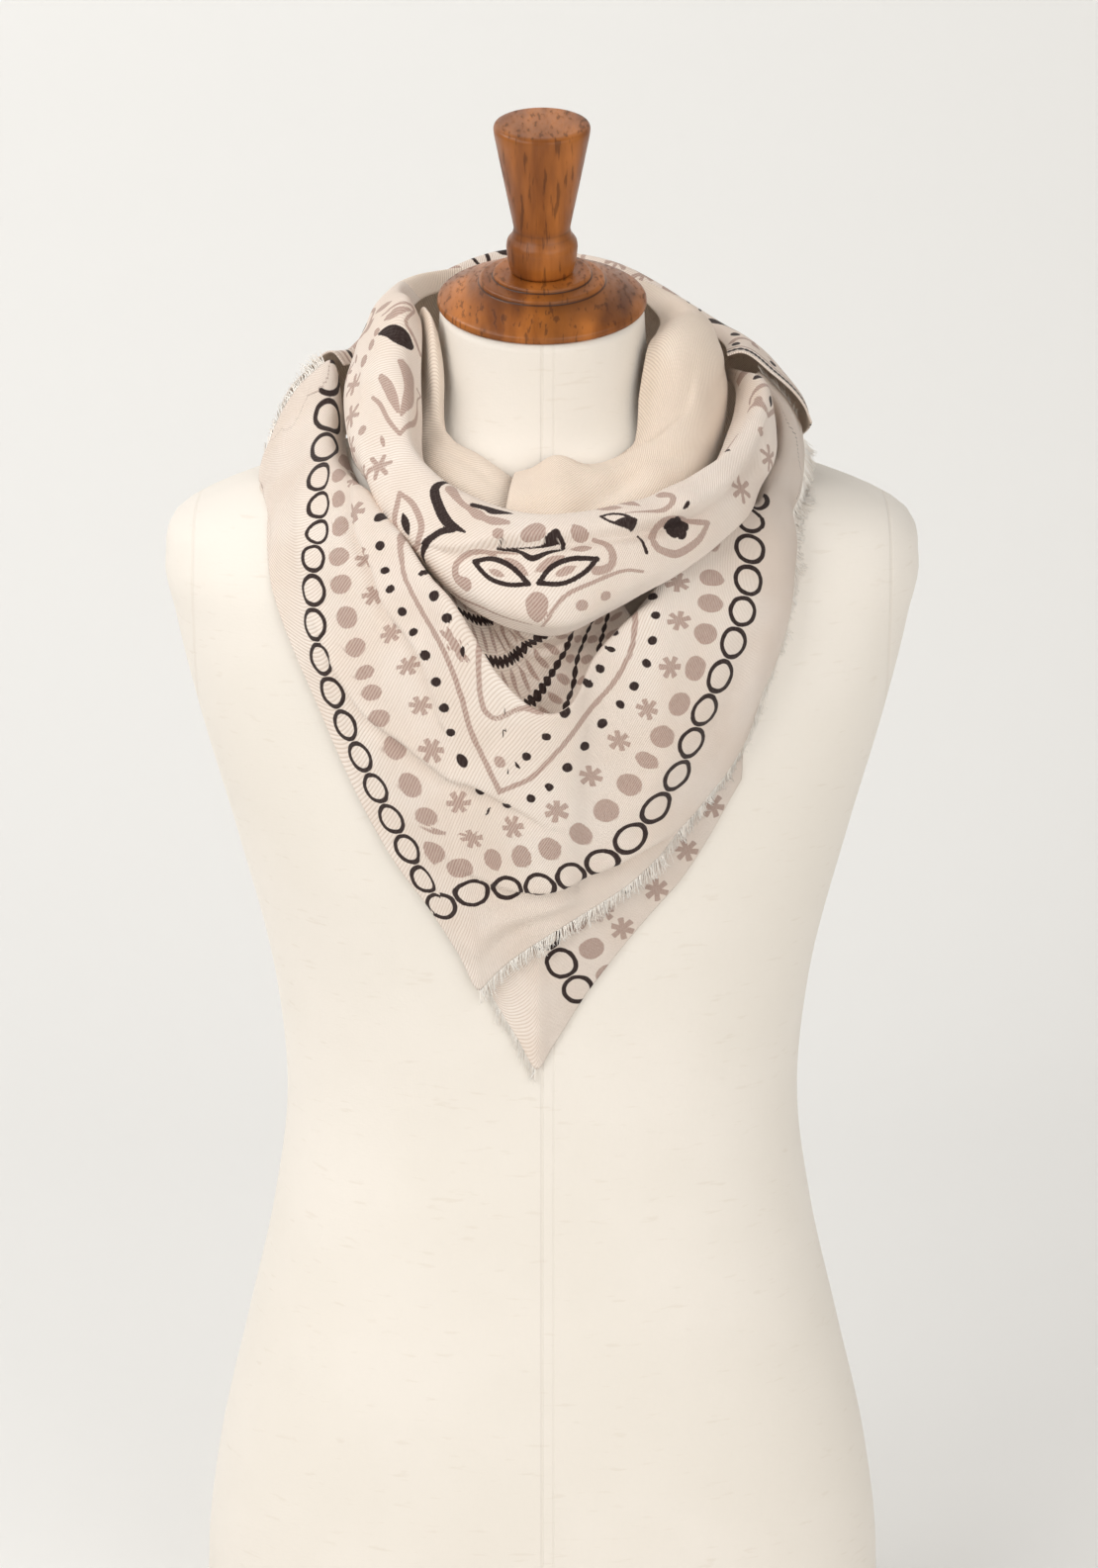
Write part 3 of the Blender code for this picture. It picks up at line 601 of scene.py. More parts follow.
class Print(Nodes):
    """Twill and its print, measured on the cloth in millimetres from its edges."""

    def __init__(self, name):
        super().__init__(name, CREAM, 0.88, Sheen_Weight=0.10, Sheen_Roughness=0.45)
        uv = self.add("ShaderNodeUVMap", "UV", {"uv_map": "print"})
        wobble = self.add("ShaderNodeTexNoise", "Color", {}, Vector=uv, Scale=170.0, Detail=1.0)
        stray = self.add("ShaderNodeVectorMath", "Vector", {"operation": "MULTIPLY_ADD"})
        node = stray.node
        self.feed(node.inputs[0], wobble)
        node.inputs[1].default_value = (0.0011, 0.0011, 0)
        self.feed(node.inputs[2], uv)
        self.place_mm, self.far_mm = (self.sum("MULTIPLY", axis, 1000) for axis in self.axes(stray)[:2])
        weave = self.add("ShaderNodeUVMap", "UV", {"uv_map": "weave"})
        place, far = (self.sum("MULTIPLY", axis, 1000) for axis in self.axes(weave)[:2])
        self.ribs = self.sum("PINGPONG", self.sum("ADD", place, self.sum("MULTIPLY", far, 0.86)), 0.85)
        self.threads = self.noise(weave, 1500, 1, (1, 0.3, 1))
        self.cloudy = self.noise(self.place(), 26, 3)
        self.dark = []
        self.mauve = []

    def cell(self, pitch, start):
        """Distance along the edge from the middle of the nearest repeat."""
        shifted = self.sum("ADD", self.place_mm, pitch / 2 - start)
        return self.sum("SUBTRACT", self.sum("WRAP", shifted, pitch, 0.0), pitch / 2)

    def dots(self, inks, row, pitch, start, wide, tall, soft=0.35):
        """A row of filled ovals."""
        u = self.sum("DIVIDE", self.cell(pitch, start), wide / 2)
        v = self.sum("DIVIDE", self.sum("SUBTRACT", self.far_mm, row), tall / 2)
        r = self.sum("SQRT", self.sum("ADD", self.sum("MULTIPLY", u, u), self.sum("MULTIPLY", v, v)))
        edge = soft / (wide / 2)
        inks.append(self.band(r, 1 - edge, 1 + edge, 1, 0))

    def rings(self, inks, row, pitch, start, size, line):
        """A row of open rings, of one middle diameter and line width."""
        u = self.cell(pitch, start)
        v = self.sum("MULTIPLY", self.sum("SUBTRACT", self.far_mm, row), 1.03)
        r = self.sum("SQRT", self.sum("ADD", self.sum("MULTIPLY", u, u), self.sum("MULTIPLY", v, v)))
        off = self.sum("ABSOLUTE", self.sum("SUBTRACT", r, size / 2))
        inks.append(self.band(off, line / 2 - 0.2, line / 2 + 0.25, 1, 0))

    def stars(self, inks, row, pitch, start, size, arms, arm_width):
        """A row of asterisks with blunt arms."""
        u = self.cell(pitch, start)
        v = self.sum("SUBTRACT", self.far_mm, row)
        r = self.sum("SQRT", self.sum("ADD", self.sum("MULTIPLY", u, u), self.sum("MULTIPLY", v, v)))
        turn = self.sum("ADD", self.sum("ARCTAN2", v, u), 7.0)
        off = self.sum("SUBTRACT", self.sum("WRAP", turn, 2 * math.pi / arms, 0.0), math.pi / arms)
        across = self.sum("ABSOLUTE", self.sum("MULTIPLY", r, self.sum("SINE", off)))
        arm = self.band(self.sum("SUBTRACT", across, self.sum("MULTIPLY", r, 0.07)),
                        arm_width / 2 - 0.25, arm_width / 2 + 0.2, 1, 0)
        inks.append(self.sum("MULTIPLY", arm, self.band(r, size / 2 - 0.3, size / 2 + 0.3, 1, 0)))

    def line(self, inks, row, width, scallop=0.0, pitch=5.0):
        """A line along the edge, with a scalloped outer side where asked."""
        off = self.sum("ABSOLUTE", self.sum("SUBTRACT", self.far_mm, row))
        if scallop:
            off = self.sum("SUBTRACT", off, self.sum("MULTIPLY", scallop, self.sum(
                "ABSOLUTE", self.sum("SINE", self.sum("MULTIPLY", self.place_mm, math.pi / pitch)))))
        inks.append(self.band(off, width / 2 - 0.25, width / 2 + 0.25, 1, 0))

    def mark(self, inks, name, low, high):
        """Ink inside the free shapes, from the distances kept on the mesh."""
        value = self.add("ShaderNodeAttribute", "Fac", {"attribute_name": name})
        stray = self.sum("ADD", value, self.sum("MULTIPLY", self.sum("SUBTRACT", self.threads, 0.5), 0.9))
        inks.append(self.band(stray, low, high, 1, 0))

    def finish(self, cream=CREAM, shade=CREAM_SHADE):
        """Ink the cream twill, and raise its diagonal ribs."""
        worn = self.band(self.ribs, 0.15, 0.6, 0.55, 1.0)
        grain = self.band(self.threads, 0.3, 0.7, 0.85, 1.0)
        solid = self.band(self.threads, 0.2, 0.6, 0.955, 1.0)
        colour = self.blend(self.band(self.cloudy, 0.3, 0.75), shade, cream)
        colour = self.blend(self.band(self.ribs, 0.05, 0.6, 0.55, 0), colour, RIB_SHADE)
        for inks, ink, strength in ((self.mauve, MAUVE, self.sum("MULTIPLY", worn, grain)),
                                    (self.dark, DARK_BROWN, solid)):
            if inks:
                whole = inks[0]
                for other in inks[1:]:
                    whole = self.sum("MAXIMUM", whole, other)
                colour = self.blend(self.sum("MULTIPLY", whole, strength), colour, ink)
        ribs = self.bump(self.ribs, 0.00042, 0.7)
        fine = self.bump(self.threads, 0.00022, 0.4, ribs)
        return self.wear(Base_Color=colour, Normal=fine)


def print_border(name, marked=False):
    """The scarf's border: rings, ovals, asterisks, and a line between two rows of dots."""
    twill = Print(name)
    twill.rings(twill.dark, RING_FAR, REPEAT, start=RING_FAR, size=15.4, line=2.5)
    twill.dots(twill.mauve, OVAL_FAR, REPEAT, start=OVAL_FAR, wide=12.0, tall=13.5)
    twill.stars(twill.mauve, STAR_FAR, 1.5 * REPEAT, start=STAR_FAR, size=13, arms=6, arm_width=2.5)
    twill.dots(twill.dark, OUTER_DOTS, pitch=16.5, start=OUTER_DOTS, wide=5.8, tall=5.0)
    twill.line(twill.mauve, BORDER_LINE, width=2.8)
    twill.dots(twill.dark, INNER_DOTS, REPEAT, start=INNER_DOTS, wide=6.0, tall=5.2)
    if marked:
        twill.mark(twill.mauve, "mauve_ink", -0.1, 0.35)
    return twill.finish()


def build_under_tip():
    left = np.linspace(-16, UNDER_TIP_POINT, 40)
    angles = np.concatenate([left, np.linspace(UNDER_TIP_POINT, 47, 110)[1:]])
    keys = [row.angle for row in UNDER_TIP]
    top = eased(keys, [row.top_up for row in UNDER_TIP], angles)
    hem = eased(keys, [row.hem_up for row in UNDER_TIP], angles)
    ups = top + (hem - top) * np.linspace(0, 1, 8)[:, None]
    outs = form_reach(np.broadcast_to(angles, ups.shape), ups) + UNDER_TIP_GAP
    points = lay_stretch(angles, np.stack([outs, ups], -1), 60)
    points = crease(points, angles, [
        Crease("ridge", 0.8, 6, [(-4, 0.9), (6, 0.6), (20, 0.4)]),
        Crease("trough", -0.5, 4, [(-10, 0.7), (2, 0.45), (14, 0.25)]),
    ], 0.25)
    corner = len(left) - 1
    hem_path = points[corner::-1, -1]
    beyond = hem_path[-1] + (hem_path[-1] - hem_path[-8]) * 8
    cut = edge_measure(points, np.concatenate([hem_path, [beyond]]), -CUT_BORDER, CUT_START)
    fold = edge_measure(points, points[corner:, -1], FOLD_BORDER, FOLD_START)
    print_map = by_two_edges(cut, fold, cut[0] + FOLD_LEAD - fold[0])
    piece = make_cloth("corner_beneath", points, print_map, print_border("twill_corner"), plain_twill,
                       ["tip_under"])
    return piece, points, corner


plain_twill = Print("twill_reverse").finish(REVERSE_CREAM, REVERSE_SHADE)
corner_beneath, beneath_points, beneath_corner = build_under_tip()


# ------------------------------------------------------------------ scarf: the front triangle
# The folded square hangs over the chest as a triangle. Its left side is the fold of the cloth,
# its right side the frayed cut, and its top rolls in under the cowl.
Drape = namedtuple(
    "Drape",
    "angle tuck_out tuck_up lip_out lip_up breast_out breast_up skirt_out skirt_up hem_out hem_up",
)
FRONT_DRAPE = [
    Drape(-90, 108.5, 745, 112, 754, 123, 747, 137, 729, 149, 703),
    Drape(-84, 106, 718, 113, 736, 126, 733, 139, 718, 151, 695),
    Drape(-78, 107, 713, 115, 727, 130, 721, 142, 709, 152, 691),
    Drape(-68, 110, 706, 120, 716, 136, 708, 146, 697, 155, 682),
    Drape(-59, 113, 699, 125, 709, 142, 699, 152, 678, 163, 644),
    Drape(-51, 118, 694, 127, 704, 145, 688, 156, 650, 154, 595),
    Drape(-44, 120, 689, 130, 700, 148, 677, 154, 622, 142, 546),
    Drape(-37, 124, 681, 136, 691, 150, 660, 151, 596, 133, 511),
    Drape(-29, 131, 666, 142, 680, 152, 643, 148, 570, 122.5, 481),
    Drape(-23, 134, 652, 148, 666, 152, 630, 144, 550, 114, 456),
    Drape(-18, 134, 637, 150, 654, 151, 615, 139, 530, 107.5, 434.5),
    Drape(-16, 134, 629, 150, 646.5, 150.5, 609, 138.5, 529.5, 107.8, 438.5),
    Drape(-9, 134, 604, 150, 618.5, 147, 588, 134, 527, 109, 452),
    Drape(-3, 134, 588, 150, 602, 144, 574, 133, 527, 110, 461),
    Drape(3, 133, 586, 150, 597, 144, 571, 134, 527, 111.5, 469),
    Drape(7, 133, 594, 149, 606, 145, 576, 135, 532, 112.5, 474),
    Drape(10, 132, 606, 147, 622, 147, 592, 137, 537, 114, 478),
    Drape(15, 131, 622, 145, 637, 150, 611, 141, 547, 116.5, 485),
    Drape(20, 134, 642, 145, 648, 151, 624, 146, 560, 120, 493),
    Drape(26, 141, 662, 145.5, 656, 151.5, 637, 150, 574, 124, 504),
    Drape(31, 140, 674, 145, 663, 152, 645, 153, 588, 128, 515),
    Drape(38, 138, 684, 144.5, 672, 153.5, 655, 158, 608, 135.5, 536),
    Drape(44.7, 136, 691, 143, 681, 154.5, 665, 162, 628, 144, 562),
    Drape(51, 136, 693, 142, 687, 154, 675, 162, 650, 153, 606),
    Drape(57, 131, 690, 139, 695, 149, 687, 156, 672, 156, 650),
    Drape(64, 125, 700, 136, 702, 143, 697, 147, 690.5, 146, 684),
    Drape(68, 125, 704, 135.5, 707, 142, 702.5, 145.5, 696, 145, 690),
    Drape(72, 128, 707, 134, 713, 140.5, 710, 144, 702, 143.5, 695),
    Drape(80, 126, 726, 128, 732, 134, 729, 139, 717.5, 141, 707),
    Drape(88, 112, 744, 114.5, 747.5, 122, 742, 131, 732, 138, 720),
]
DRAPE_TIP = -18
DRAPE_CREASES = [
    Crease("lap", 5.6, 5, [(-50, 0.12), (-42, 0.18), (-36, 0.20), (-31, 0.26), (-24, 0.27), (-20, 0.36)]),
    Crease("lap", 5.2, 6, [(-46, 0.62), (-39, 0.61), (-32, 0.57), (-25, 0.52), (-15, 0.47), (-5, 0.49),
                           (2, 0.55)]),
    Crease("lap", 5.6, 7, [(-14, 0.72), (-6, 0.77), (2, 0.81), (12, 0.85), (24, 0.88), (34, 0.94),
                           (44, 0.97)]),
    Crease("ridge", 2.4, 7, [(67, 0.40), (60, 0.62), (54, 0.72), (48, 0.84), (40, 0.90)]),
    Crease("trough", -2.2, 5, [(72, 0.55), (62, 0.80), (54, 0.90), (46, 0.95)]),
    Crease("ridge", 1.4, 10, [(40, 0.15), (34, 0.40), (24, 0.62), (12, 0.74)]),
    Crease("trough", -1.3, 8, [(52, 0.20), (44, 0.46), (34, 0.66), (22, 0.78)]),
    Crease("ridge", 1.5, 9, [(-72, 0.30), (-60, 0.42), (-50, 0.56), (-42, 0.70)]),
    Crease("trough", -1.2, 7, [(-82, 0.45), (-68, 0.62), (-56, 0.72), (-48, 0.82)]),
    Crease("ridge", 1.8, 5, [(-24, 0.94), (-12, 0.86), (0, 0.88), (12, 0.93)]),
    Crease("trough", -1.5, 4, [(-22, 0.98), (-10, 0.91), (2, 0.93), (14, 0.97)]),
    Crease("trough", -1.2, 6, [(-6, 0.22), (-10, 0.32), (-14, 0.42)]),
    Crease("ridge", 1.2, 6, [(14, 0.18), (10, 0.30), (4, 0.42)]),
]


def table_stretch(rows, angles, steps):
    """A stretch through the (out, up) columns of a table."""
    angles = np.array(angles, float)
    keys = [row[0] for row in rows]
    columns = [eased(keys, [row[k] for row in rows], angles) for k in range(1, len(rows[0]))]
    stations = np.stack([np.stack(columns[0::2]), np.stack(columns[1::2])], -1)
    return lay_stretch(angles, stations, steps)


# The print's rows: up the left fold and level towards the shoulder, and along the frayed cut from
# the tip to the right shoulder. `place` runs along the row, in millimetres of the flat print.
RowSpot = namedtuple("RowSpot", "place angle share")
FOLD_RINGS = [
    RowSpot(-19, -16, 1.0), RowSpot(-3, -19.5, 0.94), RowSpot(33, -25.6, 0.921),
    RowSpot(51.3, -28.5, 0.905), RowSpot(69.6, -31.5, 0.875), RowSpot(84.6, -34, 0.85),
    RowSpot(116.5, -39, 0.80), RowSpot(151.5, -44.5, 0.765), RowSpot(187, -48, 0.67),
    RowSpot(214.4, -49, 0.52), RowSpot(233, -49.6, 0.42), RowSpot(252.6, -50.2, 0.333),
    RowSpot(270.9, -53, 0.278), RowSpot(289.2, -57.8, 0.262), RowSpot(307.5, -68, 0.25),
    RowSpot(325.8, -79, 0.225), RowSpot(344.1, -88, 0.19),
]
FOLD_STARS = [
    RowSpot(33, -20, 0.72), RowSpot(67, -15.1, 0.603), RowSpot(94.5, -17.4, 0.524),
    RowSpot(121.9, -22, 0.45), RowSpot(149.4, -24, 0.38), RowSpot(176.8, -26.5, 0.325),
    RowSpot(204.2, -30.3, 0.300), RowSpot(231.7, -35, 0.255), RowSpot(259, -38, 0.205),
    RowSpot(286.6, -43, 0.16), RowSpot(314, -50, 0.10), RowSpot(344, -60, 0.02),
]
CUT_RINGS = [
    RowSpot(33, -25.6, 0.921), RowSpot(51.3, -16.2, 0.746), RowSpot(87.9, -0.4, 0.762),
    RowSpot(124.5, 13.6, 0.81), RowSpot(142.8, 19.5, 0.778), RowSpot(179.4, 28.3, 0.667),
    RowSpot(216, 32.4, 0.508), RowSpot(252.6, 38.2, 0.381), RowSpot(289.2, 42.9, 0.246),
    RowSpot(325.8, 49.3, 0.071), RowSpot(344, 55, 0.02),
]
CUT_STARS = [
    RowSpot(33, -28.5, 0.833), RowSpot(67, -15.1, 0.603), RowSpot(94.5, -6.3, 0.548),
    RowSpot(122, 3.2, 0.485), RowSpot(149.4, 10.1, 0.475), RowSpot(176.8, 15.4, 0.429),
    RowSpot(204.2, 20.7, 0.365), RowSpot(231.7, 25.3, 0.262), RowSpot(259, 27.5, 0.151),
    RowSpot(286.6, 28.5, 0.05), RowSpot(300, 30, 0.0),
]
# Where the print turns its corner: the angle at each share of the way down. Above the asterisks and
# beyond the rings, the nearer of the two rows says it.
CORNER_SEAM = [(0, -9), (0.25, -11.4), (0.603, -15.1), (0.921, -25.6), (1.0, -18)]
CORNER_WIDE, CORNER_NARROW = 14, 4
STARS_AT, RINGS_AT = 0.6, 0.875
BARE_UNTIL, BARE_WIDE, BARE_FAR = 0.5, 4, 94
# The rings, ovals and asterisks keep their form over these half widths. The slack between the rows
# goes to the strips between them. OVAL_PART is how far the ovals' place goes with the asterisks'.
RING_HALF, OVAL_HALF, STAR_HALF = 9.6, 7.2, 7.1
OVAL_PART = 0.53
# An inner line with a point below the hollow, and an asterisk and a dot inside the border.
INNER_MARKS = [
    (1.3, [(-18, 0.06), (-15, 0.07), (-12.6, 0.11), (-12.2, 0.183), (-12.1, 0.222), (-11.4, 0.25)]),
    (1.3, [(-11.4, 0.25), (-9.2, 0.243), (-6.3, 0.206), (-2.8, 0.151), (0, 0.12)]),
    (1.2, [(-19.3, 0.181), (-14.3, 0.187)]),
    (1.2, [(-18.0, 0.168), (-15.6, 0.200)]),
    (1.2, [(-15.6, 0.168), (-18.0, 0.200)]),
    (2.6, [(-8.7, 0.355), (-8.5, 0.359)]),
]


def from_row(points, angles, spots, inner_side):
    """How far each point lies inside a row of the print, and its place along that row."""
    marks = np.array([on_grid(points, angles, spot.angle, spot.share) for spot in spots])
    keys = np.arange(len(spots))
    at = np.linspace(0, len(spots) - 1, 6 * (len(spots) - 1) + 1)
    path = np.stack([eased(keys, marks[:, axis], at) for axis in range(3)], 1)
    _, along, offset, course, _ = nearest_on_path(points, path)
    side = np.sign((np.cross(outward(points), course) * offset).sum(-1)) * inner_side
    run = np.concatenate([[0], np.cumsum(np.linalg.norm(np.diff(path, axis=0), axis=1))])
    place = eased(run[::6], [spot.place for spot in spots], run)
    return np.linalg.norm(offset, axis=-1) * side, np.interp(along, run, place)


def between_rows(points, angles, rings, stars, inner_side):
    """Where each point lies on the flat print: inwards from the border's edge, and along it."""
    ring_in, ring_place = from_row(points, angles, rings, inner_side)
    star_in, star_place = from_row(points, angles, stars, inner_side)
    whole, middle = STAR_FAR - RING_FAR, OVAL_FAR - RING_FAR
    gap = np.maximum(ring_in - star_in, 1)
    tight = np.minimum(gap / whole, 1)
    ovals, half = gap * middle / whole, OVAL_HALF * tight
    marks = [0 * gap, RING_HALF * tight, ovals - half, ovals + half, gap - STAR_HALF * tight, gap]
    flat = [0, RING_HALF, middle - OVAL_HALF, middle + OVAL_HALF, whole - STAR_HALF, whole]
    parts = [0, 0, OVAL_PART, OVAL_PART, 1, 1]
    within, share = ring_in.copy(), 0 * gap
    for k in range(5):
        past = ring_in > marks[k]
        climb = np.clip((ring_in - marks[k]) / np.maximum(marks[k + 1] - marks[k], 0.01), 0, 1)
        within = np.where(past, flat[k] + (flat[k + 1] - flat[k]) * climb, within)
        share = np.where(past, parts[k] + (parts[k + 1] - parts[k]) * climb, share)
    share = np.where(star_in > 0, 1, share)
    far = np.where(star_in > 0, STAR_FAR + star_in, RING_FAR + within)
    return far, ring_place + (star_place - ring_place) * share


def build_drape():
    left = np.linspace(FRONT_DRAPE[0].angle, DRAPE_TIP, 124)
    angles = np.concatenate([left, np.linspace(DRAPE_TIP, FRONT_DRAPE[-1].angle, 182)[1:]])
    flat = table_stretch(FRONT_DRAPE, angles, 126)
    fold = between_rows(flat, angles, FOLD_RINGS, FOLD_STARS, -1)
    cut = between_rows(flat, angles, CUT_RINGS, CUT_STARS, 1)
    shares = np.linspace(0, 1, flat.shape[1])
    past = angles[:, None] - np.interp(shares, *zip(*CORNER_SEAM))
    bare = (np.abs(past) < BARE_WIDE) & (shares < BARE_UNTIL)
    fold, cut = ((np.where(bare, np.minimum(far, BARE_FAR), far), place) for far, place in (fold, cut))
    by_reach = np.abs(past) < np.where((shares < STARS_AT) | (shares > RINGS_AT), CORNER_WIDE, CORNER_NARROW)
    past = np.where(by_reach, fold[0] - cut[0], past)
    inner = np.min([nearest_on_path(flat, smooth_path(flat, angles, spots))[0] - wide
                    for wide, spots in INNER_MARKS], axis=0)
    points = crease(flat, angles, DRAPE_CREASES)
    piece = make_cloth("front_triangle", points, by_two_edges(fold, cut, past),
                       print_border("twill_border", True), plain_twill, ["drape_front"],
                       {"mauve_ink": np.clip(inner, -INK_REACH, INK_REACH)})
    return piece, points, len(left) - 1


front_triangle, drape_points, drape_tip = build_drape()


# ------------------------------------------------------------------ scarf: the cloth in the hollow
# Under the cowl the triangle's top has sunk in, and a part of the print with a dark scalloped
# edge shows there, crumpled into short level folds.
Pocket = namedtuple("Pocket", "angle upper_out fold_out lower_out")
POCKET = [
    Pocket(-25, 123, 121, 124),
    Pocket(-14, 123, 118, 122),
    Pocket(-4, 123, 116, 120),
    Pocket(4, 123, 116, 120),
    Pocket(12, 122, 117, 120),
    Pocket(20, 122, 119, 121),
]
POCKET_TOP = (-5, 9)
POCKET_FOOT = (-1.5, 1)
POCKET_SLANT = -48
POCKET_CREASES = [
    Crease("lap", 2.6, 3, [(14, 0.70), (6, 0.62), (-4, 0.64), (-16, 0.58)]),
    Crease("lap", 2.2, 3, [(16, 0.44), (6, 0.38), (-6, 0.42), (-18, 0.36)]),
    Crease("ridge", 1.8, 3, [(18, 0.26), (6, 0.22), (-8, 0.26), (-20, 0.20)]),
    Crease("trough", -2.0, 2.5, [(12, 0.84), (2, 0.80), (-10, 0.82)]),
    Crease("trough", -1.4, 2.5, [(-12, 0.30), (-9, 0.50), (-5, 0.70)]),
]
Roll = namedtuple(
    "Roll",
    "angle inner_out inner_up crest_out crest_up belly_out belly_up low_out low_up tuck_out tuck_up",
)
COWL = [
    Roll(-104, 67, 784, 76, 793, 93, 764, 102, 737, 100, 728),
    Roll(-85, 69, 781, 75, 791, 97, 766, 105, 738, 103, 726),
    Roll(-66, 70, 775, 76, 785, 98, 761, 112, 728, 110, 717),
    Roll(-57, 76, 757, 85, 766, 104, 749, 118, 721, 116, 711),
    Roll(-46, 87, 733, 97, 747, 112, 735, 127, 711, 122, 700),
    Roll(-40, 97, 717, 108, 731, 122, 719, 132, 697, 125, 686),
    Roll(-28, 108, 703, 118, 713, 132, 702, 138.5, 680, 131, 669),
    Roll(-16, 112, 691, 122, 702, 140, 689, 147.5, 663, 137, 650),
    Roll(-6, 117, 684, 127, 696, 148, 680, 153, 653, 139, 639),
    Roll(4, 120, 684, 131, 695, 152, 676, 156, 650, 139, 637),
    Roll(14, 121, 687, 132, 698, 152, 681, 155, 661, 142, 648),
    Roll(26, 121, 692, 132, 703, 149, 692, 153, 674, 149.5, 665),
    Roll(38, 120, 700, 131, 711, 144, 702, 149.5, 687, 149.5, 680),
    Roll(46, 117, 706, 130, 717, 140, 709, 145, 695, 146, 689),
    Roll(54, 113, 712, 128, 723, 137, 713, 140, 702, 138, 697),
    Roll(62, 109, 720, 128, 733, 135, 719, 136, 708, 131, 704),
    Roll(70, 107, 728, 125, 742, 131, 724, 130, 714, 124, 710),
    Roll(78, 105, 735, 117, 748, 123, 731, 123, 717, 117, 712),
    Roll(88, 103, 740, 106, 748, 112, 734, 113, 722, 110, 715),
    Roll(100, 100, 741, 102, 746, 106, 736, 107, 727, 105, 720),
]


def column_of(rows, field, angles):
    return eased([row.angle for row in rows], [getattr(row, field) for row in rows], angles)


def print_scallops(name):
    """The print's inner band: dark scalloped lines with mauve bars between them."""
    twill = Print(name)
    for row in (10, 28, 46, 64, 82, 100, 118):
        twill.line(twill.dark, row, 1.8, 1.8, 4.2)
        twill.dots(twill.mauve, row + 9, 8, 0, 3.4, 11)
    return twill.finish()


def build_pocket():
    angles = np.linspace(POCKET[0].angle, POCKET[-1].angle, 110)
    top_out = column_of(COWL, "tuck_out", angles) + POCKET_TOP[0]
    top_up = column_of(COWL, "tuck_up", angles) + POCKET_TOP[1]
    foot_out = column_of(FRONT_DRAPE, "tuck_out", angles) + POCKET_FOOT[0]
    foot_up = column_of(FRONT_DRAPE, "tuck_up", angles) + POCKET_FOOT[1]
    ups = top_up + (foot_up - top_up) * np.linspace(0, 1, 5)[:, None]
    inner_outs = [column_of(POCKET, field, angles) for field in Pocket._fields[1:]]
    outs = np.stack([top_out, *inner_outs, foot_out])
    points = crease(lay_stretch(angles, np.stack([outs, ups], -1), 70), angles, POCKET_CREASES, 0.5)
    piece = make_cloth("sunk_cloth", points, by_grid(points, POCKET_SLANT),
                       print_scallops("twill_scallops"), plain_twill, ["pocket_fold"])
    return piece, points


sunk_cloth, sunk_points = build_pocket()
declare(sunk_points)


# ------------------------------------------------------------------ scarf: the turns round the neck
# Inside the cowl the twill shows its plain reverse. A narrow fold stands beside the neck on the
# left and runs in under the wide fold on the right, which ends in a soft tongue at the throat.
RIGHT_NECK_ROLL = [
    Roll(-10, 71, 707, 80, 708.5, 94, 704, 105, 696, 112, 688),
    Roll(-4, 70, 709, 80, 710.5, 95, 705, 106, 697, 113, 686),
    Roll(5, 69.5, 714, 79, 716, 94, 711, 106, 701, 114, 688),
    Roll(14, 70, 709, 80, 712.5, 95, 709, 107, 700, 115, 687),
    Roll(24, 70, 708, 80, 712, 96, 709, 108, 701, 116, 690),
    Roll(35, 71, 713, 81, 717, 97, 715, 109, 706, 116, 694),
    Roll(44, 71, 722, 79, 727, 97, 722, 108, 711, 114, 698),
    Roll(52, 65, 742, 75, 747, 95, 735, 106, 717, 109, 702),
    Roll(60, 63, 761, 74, 767, 95, 746, 103, 723, 104, 705),
    Roll(75, 63, 771, 76, 780, 97, 755, 100, 729, 98, 710),
    Roll(90, 63, 774, 79, 781, 96, 757, 98, 733, 95, 713),
    Roll(110, 63, 778, 75, 784, 88, 766, 94, 740, 92, 720),
    Roll(130, 64, 783, 70, 789, 80, 770, 88, 742, 87, 724),
    Roll(150, 65, 784, 69.5, 790, 77, 770, 85, 742, 84, 726),
]
BACK_NECK_ROLL = [
    Roll(150, 65, 784, 69.5, 790, 77, 770, 85, 742, 84, 726),
    Roll(180, 65, 784, 69.5, 791, 77, 770, 85, 742, 84, 726),
    Roll(212, 65, 785, 71, 794, 80, 770, 89, 742, 87, 728),
    Roll(235, 66, 785, 74, 794, 87, 768, 95, 740, 93, 729),
    Roll(256, 67, 784, 76, 793, 93, 764, 102, 737, 100, 728),
]
LEFT_NECK_ROLL = [
    Roll(-86, 62, 777, 63.5, 782, 66, 766, 69, 746, 70, 732),
    Roll(-72, 62, 778, 64, 784, 67, 765, 71, 742, 73, 724),
    Roll(-62, 62, 771, 64.5, 777, 69, 757, 75, 735, 79, 717),
    Roll(-54, 64, 751, 67.5, 756, 74, 742, 82, 724, 87, 709),
    Roll(-47, 70, 728, 73, 733, 81, 726, 91, 712, 96, 701),
    Roll(-38, 73, 718, 77, 723, 86, 719, 96, 707, 100, 695),
    Roll(-25, 71, 711, 77, 716, 88, 712, 98, 703, 103, 692),
    Roll(-14, 70, 703, 77, 707, 88, 703.5, 99, 694.5, 105, 684),
    Roll(-7, 70, 698, 77, 700.5, 87, 696.5, 98, 688, 105, 679),
]
